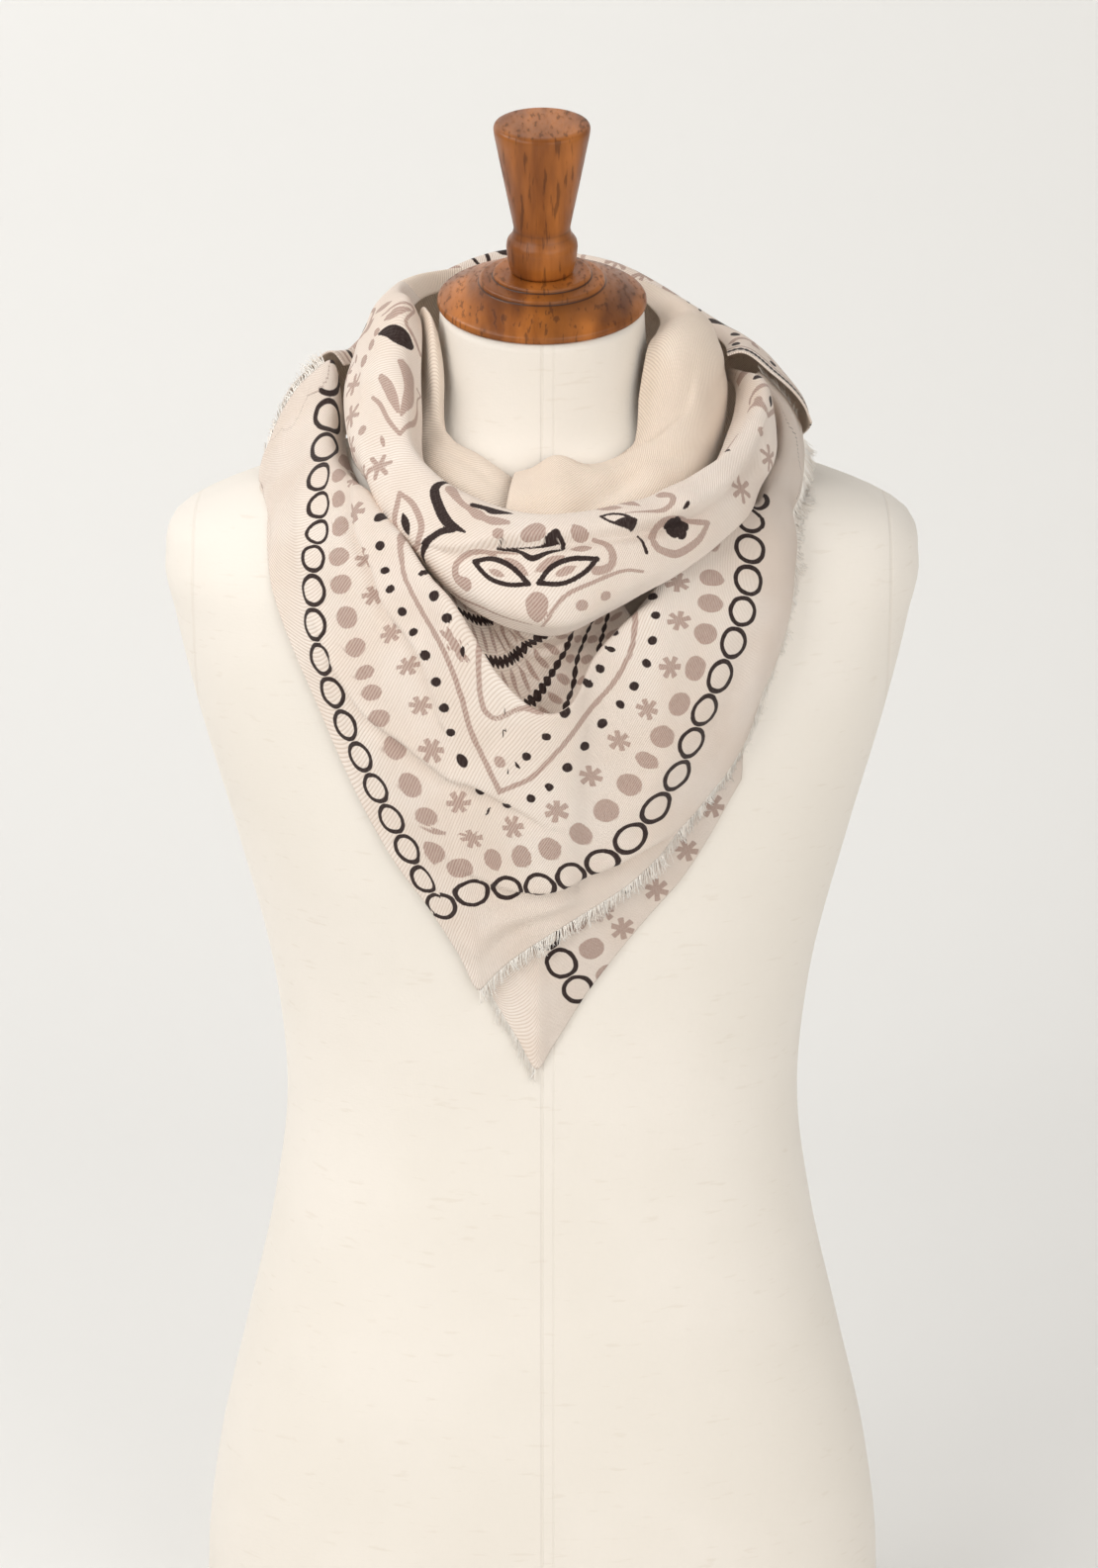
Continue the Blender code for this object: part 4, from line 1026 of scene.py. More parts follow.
RIGHT_CREASES = [
    Crease("trough", -2.6, 6, [(7, 0.97), (13, 0.80), (21, 0.65), (34, 0.50), (44, 0.62), (56, 0.82)]),
    Crease("lap", 2.2, 4, [(62, 0.42), (53, 0.48), (45, 0.37), (34, 0.20), (24, 0.12)]),
    Crease("ridge", 1.8, 6, [(0, 0.30), (8, 0.26), (16, 0.40), (24, 0.36)]),
    Crease("ridge", 1.5, 7, [(60, 0.20), (76, 0.30), (96, 0.34), (120, 0.30)]),
    Crease("trough", -1.6, 6, [(58, 0.60), (72, 0.62), (90, 0.58), (112, 0.60)]),
    Crease("ridge", 1.2, 5, [(-6, 0.60), (2, 0.66), (10, 0.60)]),
    Crease("trough", -1.2, 4, [(100, 0.75), (118, 0.70), (140, 0.76)]),
]
LEFT_CREASES = [
    Crease("trough", -1.0, 4, [(-44, 0.30), (-34, 0.36), (-24, 0.40), (-14, 0.48)]),
    Crease("ridge", 1.0, 5, [(-50, 0.60), (-38, 0.66), (-26, 0.70), (-12, 0.72)]),
    Crease("trough", -0.8, 3, [(-78, 0.4), (-66, 0.5), (-56, 0.5)]),
]
BACK_CREASES = [
    Crease("ridge", 1.4, 6, [(156, 0.36), (180, 0.30), (206, 0.36), (236, 0.40)]),
    Crease("trough", -1.4, 6, [(160, 0.62), (186, 0.68), (214, 0.64), (246, 0.66)]),
]
PART_LINE = 0.25


def build_turn(name, rows, first, last, count, steps, creases, face, node, wave=0.4):
    angles = np.linspace(first, last, count)
    points = crease(table_stretch(rows, angles, steps), angles, creases, wave)
    return make_cloth(name, points, by_grid(points), face, plain_twill, [node]), points


wrap_left, wrap_left_points = build_turn(
    "wrap_left", LEFT_NECK_ROLL, -86, -7, 130, 60, LEFT_CREASES, plain_twill, "neck_wrap_left", 0.25)
wrap_right, wrap_right_points = build_turn(
    "wrap_right", RIGHT_NECK_ROLL, -10, 150, 230, 70, RIGHT_CREASES, plain_twill, "neck_wrap_right")
wrap_back, wrap_back_points = build_turn(
    "wrap_back", BACK_NECK_ROLL, 150 + PART_LINE, 256 - PART_LINE, 130, 60, BACK_CREASES, plain_twill,
    "neck_wrap_back")
declare(wrap_left_points)
declare(wrap_right_points)
declare(wrap_back_points)


# ------------------------------------------------------------------ scarf: the cowl
# The next turn hangs loose across the chest with its print outwards. It rolls over at the top,
# and on the left it climbs and stands beside the neck.
COWL_ENDS = (-104, 100)
COWL_CREASES = [
    Crease("lap", 6.8, 5, [(-24, 0.70), (-16, 0.57), (-8, 0.42), (0, 0.36), (8, 0.36), (18, 0.43), (28, 0.52),
                           (38, 0.56), (50, 0.55), (60, 0.50)]),
    Crease("trough", -2.2, 5, [(-50, 0.80), (-45, 0.62), (-40, 0.50)]),
    Crease("ridge", 1.8, 7, [(-20, 0.86), (-12, 0.80), (-3, 0.78), (8, 0.84), (16, 0.92)]),
    Crease("ridge", 2.0, 8, [(-96, 0.34), (-80, 0.36), (-64, 0.40), (-52, 0.34), (-42, 0.26)]),
    Crease("trough", -1.6, 6, [(-92, 0.66), (-76, 0.64), (-62, 0.68), (-52, 0.66)]),
    Crease("trough", -1.5, 7, [(-34, 0.40), (-26, 0.58), (-18, 0.74), (-10, 0.92)]),
    Crease("ridge", 1.5, 7, [(-38, 0.62), (-32, 0.74), (-24, 0.86)]),
    Crease("trough", -1.4, 6, [(24, 0.70), (36, 0.76), (50, 0.80), (64, 0.84)]),
    Crease("ridge", 1.2, 6, [(62, 0.30), (74, 0.36), (88, 0.42)]),
]

# Common printed shapes, one unit long. Each is a few strokes of the brush: (along, up, radius).
SHAPES = {
    "dot": [[(-0.04, 0, 0.46), (0.04, 0, 0.46)]],
    "egg": [[(-0.30, 0, 0.10), (-0.05, 0, 0.26), (0.18, 0, 0.32)]],
    "leaf": [[(-0.5, 0, 0.02), (-0.2, 0, 0.15), (0.1, 0, 0.17), (0.5, 0, 0.02)]],
    "half_leaf": [[(-0.5, 0, 0.03), (-0.2, 0.10, 0.16), (0.1, 0.05, 0.20), (0.35, -0.02, 0.12)]],
    "eye": [
        [(-0.5, 0.0, 0.035), (-0.22, 0.15, 0.04), (0.12, 0.15, 0.04), (0.5, 0.0, 0.035)],
        [(-0.5, 0.0, 0.035), (-0.15, -0.15, 0.035), (0.2, -0.13, 0.035), (0.5, 0.0, 0.035)],
    ],
    "pear": [
        [(-0.5, 0.02, 0.03), (-0.2, 0.20, 0.05), (0.2, 0.25, 0.055), (0.45, 0.10, 0.05), (0.5, -0.02, 0.05)],
        [(-0.5, 0.02, 0.03), (-0.3, -0.06, 0.045), (-0.05, -0.20, 0.05), (0.25, -0.26, 0.05),
         (0.48, -0.10, 0.05)],
    ],
    "bracket": [
        [(-0.30, 0.72, 0.02), (-0.37, 0.52, 0.06), (-0.22, 0.28, 0.07), (0.02, 0.05, 0.07),
         (0.34, -0.06, 0.015)],
        [(0.15, -0.04, 0.055), (-0.08, -0.12, 0.05), (-0.28, -0.30, 0.05), (-0.38, -0.55, 0.02)],
    ],
    "scroll": [[(0.62, 0.22, 0.015), (0.25, 0.20, 0.03), (-0.10, 0.14, 0.045), (-0.30, -0.04, 0.055),
                (-0.30, -0.24, 0.06), (-0.12, -0.34, 0.10)]],
    "hook": [
        [(-0.10, 0.54, 0.05), (0.06, 0.38, 0.09), (0.21, 0.09, 0.09), (0.24, -0.18, 0.075),
         (0.22, -0.46, 0.02)],
        [(-0.32, 0.20, 0.05), (-0.17, 0.06, 0.085), (0.0, -0.16, 0.08), (0.16, -0.40, 0.03)],
        [(-0.42, -0.14, 0.03), (-0.20, -0.29, 0.034), (0.05, -0.58, 0.034), (0.30, -0.80, 0.03)],
        [(0.30, -0.80, 0.03), (0.42, -0.25, 0.022), (0.46, 0.36, 0.022), (0.27, 0.42, 0.03)],
    ],
    "fold_line": [[(-0.27, 0.40, 0.022), (0.06, 0.35, 0.026), (0.22, 0.21, 0.022), (0.0, 0.0, 0.024),
                   (0.11, -0.29, 0.024), (0.19, -0.54, 0.018)]],
    "wave": [[(-0.45, 0.36, 0.08), (-0.27, 0.12, 0.045), (-0.10, -0.02, 0.05), (0.02, -0.12, 0.08),
              (0.14, -0.20, 0.055), (0.30, -0.27, 0.08), (0.48, -0.30, 0.045)]],
    "curl": [[(-0.25, 0.55, 0.08), (0.10, 0.36, 0.10), (0.26, 0.03, 0.11), (0.20, -0.28, 0.11),
              (-0.06, -0.42, 0.12), (-0.28, -0.44, 0.13)]],
    "sliver": [[(-0.5, 0.03, 0.06), (-0.15, 0.0, 0.07), (0.06, -0.06, 0.10), (0.5, -0.02, 0.02)]],
    "long_line": [[(-0.5, 0.03, 0.022), (0.0, 0.04, 0.026), (0.5, -0.05, 0.012)]],
    "chevron": [
        [(-0.52, 0.0, 0.012), (-0.2, -0.02, 0.03), (0.03, -0.12, 0.045), (0.25, 0.0, 0.035),
         (0.46, 0.09, 0.02)],
        [(-0.52, 0.0, 0.012), (-0.2, 0.05, 0.016), (0.13, 0.11, 0.02), (0.34, 0.20, 0.03),
         (0.42, 0.26, 0.035), (0.46, 0.12, 0.03)],
    ],
    "flower": [[(0.0, 0, 0.26), (0.22 * math.cos(turn), 0.22 * math.sin(turn), 0.19)]
               for turn in (0.3, 1.55, 2.8, 4.1, 5.3)],
    "star": [[(-0.5 * math.cos(turn), -0.5 * math.sin(turn), 0.10), (0, 0, 0.07),
              (0.5 * math.cos(turn), 0.5 * math.sin(turn), 0.10)] for turn in (0.2, 1.25, 2.3)],
    "arc": [[(-0.48, -0.33, 0.014), (-0.385, -0.125, 0.018), (-0.24, 0.03, 0.02), (0.0, 0.135, 0.018),
             (0.31, 0.23, 0.015), (0.52, 0.21, 0.012)]],
    "bar": [[(-0.5, 0, 0.05), (0.5, 0, 0.08)]],
}
Motif = namedtuple("Motif", "ink shape angle share turn size")
COWL_PRINT = [
    Motif("dark", "half_leaf", -61, 0.25, -20, 23),
    Motif("mauve", "hook", -49, 0.33, 0, 33),
    Motif("mauve", "fold_line", -63, 0.17, 0, 34),
    Motif("mauve", "leaf", -67.5, 0.25, 45, 16),
    Motif("mauve", "leaf", -77, 0.31, 50, 13),
    Motif("mauve", "leaf", -79, 0.41, 60, 11),
    Motif("mauve", "dot", -69.5, 0.386, 0, 5),
    Motif("mauve", "dot", -69, 0.44, 0, 6.5),
    Motif("mauve", "dot", -70, 0.55, 0, 7.5),
    Motif("mauve", "dot", -52, 0.69, 0, 6),
    Motif("mauve", "leaf", -44, 0.545, -60, 7),
    Motif("mauve", "star", -70.5, 0.69, 0, 13),
    Motif("mauve", "star", -61, 0.765, 10, 13),
    Motif("mauve", "star", -56, 0.90, 0, 13),
    Motif("mauve", "star", -41.7, 0.63, 15, 13),
    Motif("mauve", "star", -46.5, 0.91, 0, 12),
    Motif("mauve", "pear", -30.5, 0.68, -62, 31),
    Motif("dark", "leaf", -30.3, 0.70, -62, 12),
    Motif("dark", "bracket", -20.7, 0.50, 0, 36),
    Motif("mauve", "wave", -14.5, 0.29, 0, 35),
    Motif("dark", "sliver", -11.2, 0.262, -18, 22),
    Motif("mauve", "scroll", -13.2, 0.602, 0, 34),
    Motif("dark", "eye", -7.9, 0.591, -18, 31.5),
    Motif("mauve", "leaf", -8.5, 0.60, -18, 9),
    Motif("dark", "eye", 4.9, 0.523, 23, 32.5),
    Motif("mauve", "leaf", 4.6, 0.527, 23, 12),
    Motif("dark", "chevron", -2.1, 0.415, 0, 34),
    Motif("mauve", "egg", -2.1, 0.352, 35, 16),
    Motif("mauve", "egg", 7.4, 0.352, -50, 13),
    Motif("mauve", "dot", -8.7, 0.40, 0, 6),
    Motif("mauve", "leaf", -5.0, 0.53, -32, 15.5),
    Motif("mauve", "leaf", 1.6, 0.475, 30, 17),
    Motif("mauve", "leaf", -10.3, 0.515, -20, 8),
    Motif("mauve", "leaf", 7.8, 0.425, 10, 11),
    Motif("mauve", "curl", 12, 0.515, 0, 17),
    Motif("mauve", "egg", -0.8, 0.727, 90, 18),
    Motif("mauve", "arc", 9.5, 0.70, 0, 52),
    Motif("mauve", "dot", 7.4, 0.727, 0, 6.2),
    Motif("mauve", "dot", 12, 0.75, 0, 5.5),
    Motif("mauve", "long_line", -10.3, 0.90, -20, 46),
    Motif("dark", "eye", 15.5, 0.364, -4, 19),
    Motif("dark", "leaf", 17, 0.40, 8, 12),
    Motif("mauve", "leaf", 14.5, 0.235, 38, 15.8),
    Motif("mauve", "leaf", 19, 0.25, 42, 15.8),
    Motif("mauve", "scroll", 24.5, 0.40, 190, 27),
    Motif("dark", "bar", 19.8, 0.557, -72, 11),
    Motif("dark", "flower", 27.6, 0.602, 0, 16.9),
    Motif("mauve", "pear", 28.3, 0.665, 196, 35),
    Motif("dark", "leaf", 29.7, 0.515, 40, 6),
    Motif("mauve", "star", 46.7, 0.716, 10, 13),
    Motif("mauve", "bar", 54, 0.26, -28, 16),
    Motif("dark", "leaf", 50, 0.30, 24, 6),
    Motif("mauve", "dot", 60, 0.50, 0, 5),
    Motif("mauve", "star", 60, 0.74, 0, 12),
    Motif("mauve", "pear", 70, 0.45, 30, 26),
    Motif("dark", "leaf", 70, 0.46, 30, 9),
    Motif("mauve", "star", 76, 0.70, 0, 12),
    Motif("mauve", "hook", 86, 0.42, 20, 26),
    Motif("dark", "dot", 78, 0.30, 0, 5),
    Motif("mauve", "star", 90, 0.72, 0, 12),
    Motif("mauve", "star", -82, 0.72, 10, 12),
    Motif("mauve", "pear", -86, 0.46, 60, 26),
    Motif("dark", "leaf", -86, 0.46, 60, 9),
    Motif("mauve", "star", -95, 0.72, 10, 12),
    Motif("dark", "half_leaf", -98, 0.36, 40, 16),
    Motif("mauve", "scroll", -96, 0.52, 20, 24),
    Motif("mauve", "dot", -89, 0.62, 0, 5),
    Motif("mauve", "dot", -79, 0.60, 0, 5),
]


def inked(points, angles, motifs):
    """The print's free shapes as two fields on the grid: millimetres from the nearest ink."""
    normal = outward(points)
    along = np.concatenate([[0], np.cumsum(np.linalg.norm(np.diff(points, axis=0), axis=2).mean(1))])
    down = np.concatenate([[0], np.cumsum(np.linalg.norm(np.diff(points, axis=1), axis=2).mean(0))])
    fields = {ink: np.full(points.shape[:2], 6.0) for ink in ("dark", "mauve")}
    for motif in motifs:
        i = int(round(float(np.interp(motif.angle, angles, np.arange(len(angles))))))
        k = int(round(motif.share * (len(down) - 1)))
        reach = 0.9 * motif.size + 5
        window = (slice(*np.searchsorted(along, (along[i] - reach, along[i] + reach))),
                  slice(*np.searchsorted(down, (down[k] - reach, down[k] + reach))))
        level = np.cross([0, 0, 1], normal[i, k])
        level /= np.linalg.norm(level)
        rising = np.cross(normal[i, k], level)
        local = points[window] - points[i, k]
        u, v = local @ level, local @ rising
        stretch = np.linalg.norm(local, axis=-1) / np.maximum(np.hypot(u, v), 1e-6)
        turn = math.radians(motif.turn)
        u, v = ((u * math.cos(turn) + v * math.sin(turn)) * stretch / motif.size,
                (v * math.cos(turn) - u * math.sin(turn)) * stretch / motif.size)
        nearest = np.full(u.shape, 9.0)
        for stroke in SHAPES[motif.shape]:
            keys = np.arange(len(stroke))
            at = np.linspace(0, len(stroke) - 1, 2 + int(2.2 * motif.size))
            spine = [eased(keys, [spot[axis] for spot in stroke], at) for axis in range(3)]
            for cu, cv, radius in zip(*spine):
                nearest = np.minimum(nearest, np.hypot(u - cu, v - cv) - radius)
        field = fields[motif.ink]
        field[window] = np.minimum(field[window], nearest * motif.size)
    return {ink + "_ink": np.clip(field, -6, 6) for ink, field in fields.items()}


def print_motifs(name):
    twill = Print(name)
    twill.mark(twill.dark, "dark_ink", -0.1, 0.35)
    twill.mark(twill.mauve, "mauve_ink", -0.1, 0.35)
    return twill.finish()


def build_printed_turn(name, rows, angles, steps, creases, face, node, wave, motifs):
    points = crease(table_stretch(rows, angles, steps), angles, creases, wave)
    return make_cloth(name, points, by_grid(points), face, plain_twill, [node],
                      inked(points, angles, motifs)), points


cowl_twill = print_motifs("twill_cowl")
cowl_angles = np.concatenate([np.linspace(COWL_ENDS[0], -76, 40)[:-1],
                              np.linspace(-76, 64, 340)[:-1],
                              np.linspace(64, COWL_ENDS[1], 40)])
cowl, cowl_points = build_printed_turn("cowl", COWL, cowl_angles, 88, COWL_CREASES, cowl_twill,
                                       "cowl_fold", 0.5, COWL_PRINT)
declare(cowl_points)


# ------------------------------------------------------------------ scarf: the outer turn
# The last turn lies over the shoulders behind and covers both upper ends of the triangle. A
# scalloped line, a thin line and a row of dots run beside its front end, at the right of the view.
OUTER_TURN = [
    Roll(84, 99, 758, 105, 760, 123, 749, 141, 730, 144, 723),
    Roll(100, 97, 762, 103, 765, 126, 749, 141.5, 721, 139, 707),
    Roll(112, 92, 766, 98, 769, 117, 757, 136, 718, 131, 698),
    Roll(122, 88, 769, 94, 774, 110, 763, 129, 718, 123, 695),
    Roll(135, 82, 776, 89, 784, 106, 766, 122, 721, 115, 695),
    Roll(150, 79, 784, 85, 792, 106, 769, 117, 722, 107, 694),
    Roll(180, 79, 788, 85, 799, 104, 771, 114, 722, 101, 692),
    Roll(200, 79, 787, 85, 798, 104, 769, 115, 721, 103, 692),
    Roll(215, 81, 781, 88, 791, 106, 765, 119, 720, 109, 694),
    Roll(230, 90, 770, 97, 778, 113, 756, 126, 720, 119, 697),
    Roll(240, 96, 757, 102, 764, 118, 750, 131, 721, 126, 702),
    Roll(248, 101, 747, 107, 754, 122, 744, 135, 721, 131, 706),
    Roll(258, 105, 748, 111, 754, 128, 744, 140, 719, 137, 708),
    Roll(266, 106, 750, 112, 757, 128, 746, 141, 719, 139, 709),
]
OUTER_CREASES = [
    Crease("ridge", 2.2, 8, [(96, 0.40), (120, 0.34), (150, 0.36), (184, 0.30), (216, 0.36), (250, 0.34)]),
    Crease("trough", -2.2, 7, [(100, 0.60), (130, 0.56), (165, 0.62), (200, 0.54), (236, 0.60)]),
    Crease("lap", 2.4, 6, [(240, 0.80), (214, 0.74), (186, 0.80), (158, 0.74), (130, 0.80)]),
    Crease("ridge", 1.6, 6, [(180, 0.48), (200, 0.66), (222, 0.84)]),
    Crease("trough", -1.4, 6, [(118, 0.30), (136, 0.46), (156, 0.52)]),
]
# What runs beside the front end, in millimetres in from it, and the length of one scallop.
SCALLOPS_IN, THIN_LINE_IN, DOTS_IN, EDGE_BAND = 5, 10.5, 17, 21
SCALLOP = 4.5
OUTER_SHAPES = [
    ("mauve", "pear", 27), ("mauve", "star", 12), ("dark", "half_leaf", 15), ("mauve", "scroll", 26),
    ("mauve", "egg", 12), ("dark", "dot", 5), ("mauve", "star", 12), ("dark", "eye", 24),
]


def outer_print():
    """The same shapes strewn in uneven rows, with a dark leaf in each pear."""
    strewn = np.random.default_rng(5)
    motifs = []
    for row, share in enumerate((0.12, 0.27, 0.42, 0.57, 0.72, 0.87)):
        for step in range(17):
            angle = 90 + 10.3 * step + 5.1 * (row % 2) + strewn.uniform(-1, 1)
            ink, shape, size = OUTER_SHAPES[(3 * row + step * 5) % len(OUTER_SHAPES)]
            turn = strewn.uniform(-60, 60)
            if angle < 262:
                motifs.append(Motif(ink, shape, angle, share + strewn.uniform(-0.02, 0.02), turn, size))
                if shape == "pear":
                    motifs.append(motifs[-1]._replace(ink="dark", shape="leaf", size=9))
    return motifs


def edged(points, fields):
    """The scalloped line, the thin line and the dots that run beside the turn's front end."""
    along, down = runs(points)
    in_from_end = along[:, None]
    plain = 4 * (in_from_end < EDGE_BAND)
    scallops = np.abs(in_from_end - SCALLOPS_IN) - 0.8 - 1.5 * np.abs(np.sin(down * math.pi / SCALLOP))
    dots = np.hypot(in_from_end - DOTS_IN, (down + 9) % (2 * DOTS_IN) - DOTS_IN) - 3
    thin = np.abs(in_from_end - THIN_LINE_IN) - 0.8
    dark = np.minimum(fields["dark_ink"] + plain, np.minimum(scallops, dots))
    fields["dark_ink"] = np.clip(dark, -INK_REACH, INK_REACH)
    fields["mauve_ink"] = np.clip(np.minimum(fields["mauve_ink"] + plain, thin), -INK_REACH, INK_REACH)
    return fields


def build_outer():
    angles = np.concatenate([np.linspace(84, 110, 90)[:-1], np.linspace(110, 266, 260)])
    points = crease(table_stretch(OUTER_TURN, angles, 88), angles, OUTER_CREASES, 0.6)
    return make_cloth("outer_turn_cloth", points, by_grid(points), cowl_twill, plain_twill, ["outer_turn"],
                      edged(points, inked(points, angles, outer_print()))), points


outer_turn, outer_points = build_outer()
declare(outer_points)


# ------------------------------------------------------------------ scarf: the frayed edges
# The cut edges are frayed: about ten millimetres of loose weft hangs from them, pale and uneven, with the
# lower threads painted darker as shade.
# Each thread is a thin closed tube that starts just inside its edge.
FRINGE_LENGTH = 10
THREAD_WIDE = 0.75
THREAD_PITCH = 0.62
THREAD_STEPS = 5
THREAD_SIDES = 3
DROOP = np.array([0, 0, -0.05])
# Painted shade: the lower layer of threads is coloured towards the darker of these two tones, for the shade
# under the upper layer. Each thread's tone also varies at random.
FRAY_UNDER_SHADE, FRAY_LIGHT = (0.93, 0.85, 0.77), (1.0, 0.97, 0.92)
# The fringes of the two ends begin under the outer turn and stop before the shoulder's fringe.
FIRST_ROW, SHOULDER_ROWS, SHOULDER_COLUMNS = 26, 8, 6
fray_rng = np.random.default_rng(11)


def thread_faces(base):
    """The sides and both ends of one thread whose corners begin at vertex `base`."""
    faces = []
    for k in range(THREAD_STEPS):
        low = base + THREAD_SIDES * k
        for corner in range(THREAD_SIDES):
            after = (corner + 1) % THREAD_SIDES
            faces.append((low + corner, low + after, low + THREAD_SIDES + after, low + THREAD_SIDES + corner))
    end = base + THREAD_SIDES * THREAD_STEPS
    return faces + [(base, base + 2, base + 1), (end, end + 1, end + 2)]


def frayed_edge(name, edge, inner, node, clear, turn_out=0.0):
    """Loose threads along an edge, in two uneven layers, that point away from the cloth; the lower layer is
    coloured darker as painted shade.

    They keep `clear` millimetres off the form, unless it is 0, and stand out more and more along
    the edge by `turn_out`.
    """
    keys = np.concatenate([[0], np.cumsum(np.linalg.norm(np.diff(edge, axis=0), axis=1))])
    verts, faces, shade_and_tone = [], [], []
    for layer in range(2):
        count = int(keys[-1] / THREAD_PITCH)
        at = (np.arange(count) + fray_rng.uniform(-0.4, 0.4, count)) * keys[-1] / count
        at = np.clip(at, 0, keys[-1])
        for spot in at:
            i = min(int(np.searchsorted(keys, spot, side="right")) - 1, len(keys) - 2)
            share = (spot - keys[i]) / (keys[i + 1] - keys[i])
            root = edge[i] * (1 - share) + edge[i + 1] * share
            away = root - (inner[i] * (1 - share) + inner[i + 1] * share)
            away /= np.linalg.norm(away)
            run = (edge[i + 1] - edge[i]) / np.linalg.norm(edge[i + 1] - edge[i])
            out = np.cross(run, away)
            out *= np.sign(out @ np.array([root[0], root[1], 60.0]))
            clump = 0.22 * math.sin(spot / 3.1) + 0.18 * math.sin(spot / 1.3 + layer)
            lean = clump + fray_rng.normal(0, 0.15)
            rise = fray_rng.normal(0.08, 0.10) + 0.10 * layer + turn_out * (0.2 + 0.8 * spot / keys[-1])
            curl = fray_rng.normal(0, 0.035)
            length = FRINGE_LENGTH * (0.86 + 0.09 * math.sin(spot / 5.7) + fray_rng.normal(0, 0.08))
            way = away + run * lean + out * rise
            way /= np.linalg.norm(way)
            spine = [root - away * 0.8 + out * (0.25 * layer - 0.1)]
            for k in range(THREAD_STEPS):
                spine.append(spine[-1] + way * length / THREAD_STEPS)
                way = way + run * curl * (k + 1) + DROOP
                way /= np.linalg.norm(way)
            spine = np.array(spine)
            if clear:
                spine = off_form(spine, clear)
            # Painted shade: layer 0, the lower layer, gets a darker tone for the shade the upper layer casts
            # on it. The normal draw adds a random tone per thread.
            tone = min(1.0, max(0.0, 0.25 + 0.5 * layer + fray_rng.normal(0, 0.2)))
            shade_and_tone += [tone] * (THREAD_SIDES * (THREAD_STEPS + 1))
            faces += thread_faces(len(verts))
            for k, centre in enumerate(spine):
                thin = THREAD_WIDE / 2 * (1 - 0.55 * k / THREAD_STEPS)
                for corner in range(THREAD_SIDES):
                    angle = 2 * math.pi * corner / THREAD_SIDES
                    verts.append(centre + (run * math.cos(angle) + out * math.sin(angle)) * thin)
    data = bpy.data.meshes.new(name)
    data.from_pydata((np.array(verts) * MM).tolist(), [], faces)
    data.attributes.new("tone", "FLOAT", "POINT").data.foreach_set("value", shade_and_tone)
    mesh = bmesh.new()
    mesh.from_mesh(data)
    bmesh.ops.recalc_face_normals(mesh, faces=mesh.faces)
    return finish_piece(new_piece(name, mesh), fray_material, [node])


def fray_threads():
    thread = Nodes("frayed_threads", (0.95, 0.87, 0.78), 0.8, Sheen_Weight=0.1, Sheen_Roughness=0.4)
    tone = thread.add("ShaderNodeAttribute", "Fac", {"attribute_name": "tone"})
    # The tone mixes the painted shade of the lower layer with each thread's random tone.
    return thread.wear(Base_Color=thread.blend(tone, FRAY_UNDER_SHADE, FRAY_LIGHT))


fray_material = fray_threads()
front_fray = [
    frayed_edge("frayed_front", drape_points[drape_tip:-SHOULDER_COLUMNS, -1],
                drape_points[drape_tip:-SHOULDER_COLUMNS, -6], "fringe_front", clear=2.6, turn_out=0.6),
    frayed_edge("frayed_left_end", drape_points[0, FIRST_ROW:], drape_points[4, FIRST_ROW:],
                "fringe_left_end", clear=0),
    frayed_edge("frayed_right_end", drape_points[-1, FIRST_ROW:-SHOULDER_ROWS],
                drape_points[-5, FIRST_ROW:-SHOULDER_ROWS], "fringe_right_end", clear=0),
]
beneath_fray = frayed_edge("frayed_beneath", beneath_points[:beneath_corner + 1, -1],
                           beneath_points[:beneath_corner + 1, -4], "fringe_under_tip",
                           clear=1.6, turn_out=0.10)
declare(beneath_points)
declare(drape_points)


# ------------------------------------------------------------------ the studio
# The form stands on a plain pale floor that curves up behind it. A large soft window lights it
# from the left and the front, and the right side falls off gently.
BACKDROP_TONE = (0.86, 0.855, 0.84)
PAPER_FRONT, BEND_FROM, BEND, PAPER_TOP, PAPER_HALF = -2.2, 0.9, 0.7, 3.2, 3.2
WINDOW_TONE = (1.0, 0.985, 0.955)
WORLD_TONE, WORLD_STRENGTH = (1.0, 0.98, 0.95), 0.35


def build_backdrop():
    profile = [(PAPER_FRONT, 0.0), (BEND_FROM, 0.0)]
    for k in range(1, 13):
        turn = math.pi / 2 * k / 12
        profile.append((BEND_FROM + BEND * math.sin(turn), BEND * (1 - math.cos(turn))))
    profile.append((BEND_FROM + BEND, PAPER_TOP))
    mesh = bmesh.new()
    rows = [[mesh.verts.new((x, y, z)) for y, z in profile] for x in (-PAPER_HALF, PAPER_HALF)]
    for k in range(len(profile) - 1):
        mesh.faces.new((rows[0][k], rows[1][k], rows[1][k + 1], rows[0][k + 1]))
    data = bpy.data.meshes.new("backdrop")
    mesh.to_mesh(data)
    mesh.free()
    data.shade_smooth()
    # Seen from behind, the paper lets the view through to the form.
    paper = Nodes("backdrop_paper", BACKDROP_TONE, 0.95)
    behind = paper.add("ShaderNodeNewGeometry", "Backfacing", {})
    data.materials.append(paper.wear(Alpha=paper.sum("SUBTRACT", 1.0, behind)))
    backdrop = bpy.data.objects.new("backdrop", data)
    bpy.context.scene.collection.objects.link(backdrop)


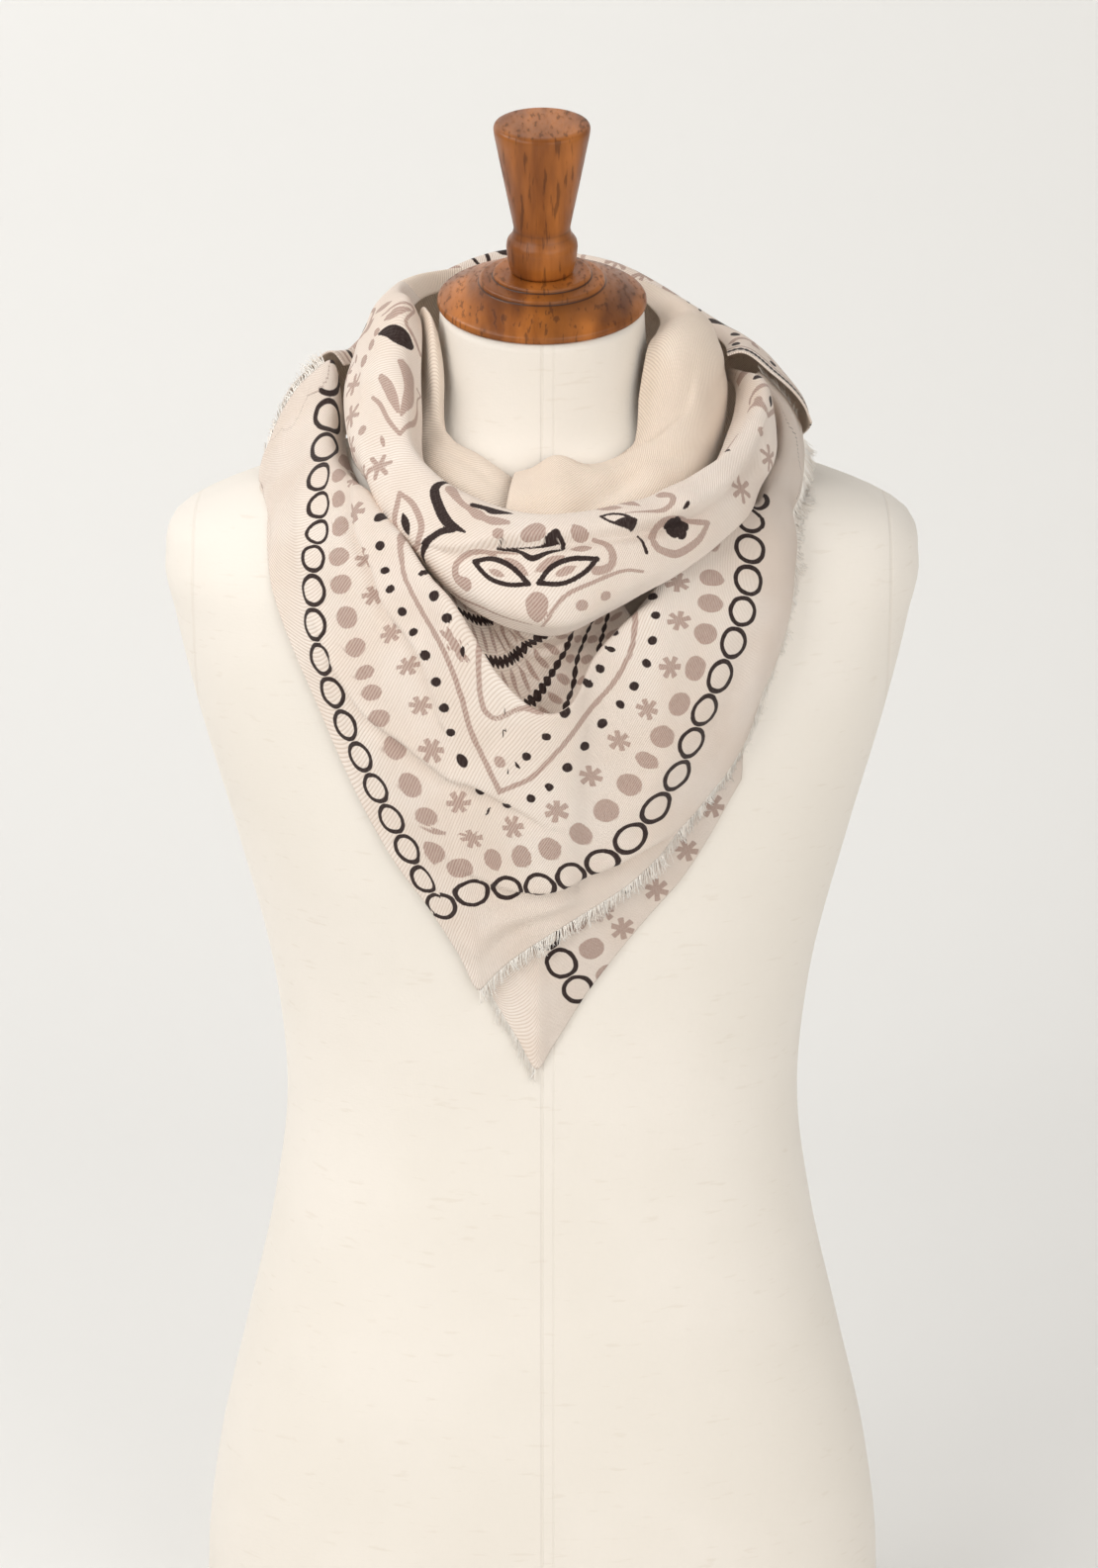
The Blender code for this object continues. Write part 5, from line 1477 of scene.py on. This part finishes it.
def add_light(name, place, target, size, power, tone):
    light = bpy.data.lights.new(name, "AREA")
    light.shape = "RECTANGLE"
    light.size, light.size_y = size
    light.energy = power
    light.color = tone
    lamp = bpy.data.objects.new(name, light)
    bpy.context.scene.collection.objects.link(lamp)
    lamp.location = place
    lamp.rotation_euler = (Vector(target) - Vector(place)).to_track_quat("-Z", "Y").to_euler()


build_backdrop()
add_light("window", (-1.7, -1.9, 1.9), (0, 0, 0.6), (1.6, 1.8), 35, WINDOW_TONE)
add_light("front_fill", (1.3, -2.3, 1.4), (0, 0, 0.65), (2.0, 2.0), 25.5, WINDOW_TONE)
add_light("right_fill", (1.9, -0.9, 1.6), (0.05, 0, 0.8), (1.4, 1.4), 5, (1.0, 0.98, 0.95))
add_light("backdrop_wash", (-1.6, 0.2, 2.4), (-0.2, 1.4, 0.8), (1.6, 1.0), 24, (1, 0.99, 0.98))
world = bpy.data.worlds.new("studio")
world.use_nodes = True
sky = world.node_tree.nodes["Background"]
sky.inputs["Color"].default_value = (*WORLD_TONE, 1)
sky.inputs["Strength"].default_value = WORLD_STRENGTH
bpy.context.scene.world = world
bpy.context.scene.view_settings.view_transform = "Standard"


# ------------------------------------------------------------------ the camera
# It looks 15 degrees down from in front at chest height, as the photograph was taken. Its upright
# view is 19 degrees, so the whole form stands in the picture.
CAMERA_TARGET = Vector((0.0037, 0, 0.52))
CAMERA_DISTANCE = 2.56
CAMERA_DOWN = math.radians(15)
UPRIGHT_VIEW = math.radians(19)
SENSOR = 36
camera_data = bpy.data.cameras.new("photo_view")
camera_data.sensor_fit = "VERTICAL"
camera_data.sensor_height = SENSOR
camera_data.lens = SENSOR / 2 / math.tan(UPRIGHT_VIEW / 2)
camera = bpy.data.objects.new("photo_view", camera_data)
bpy.context.scene.collection.objects.link(camera)
camera.location = CAMERA_TARGET + CAMERA_DISTANCE * Vector((0, -math.cos(CAMERA_DOWN), math.sin(CAMERA_DOWN)))
camera.rotation_euler = (math.pi / 2 - CAMERA_DOWN, 0, 0)
bpy.context.scene.camera = camera

bpy.context.view_layer.update()
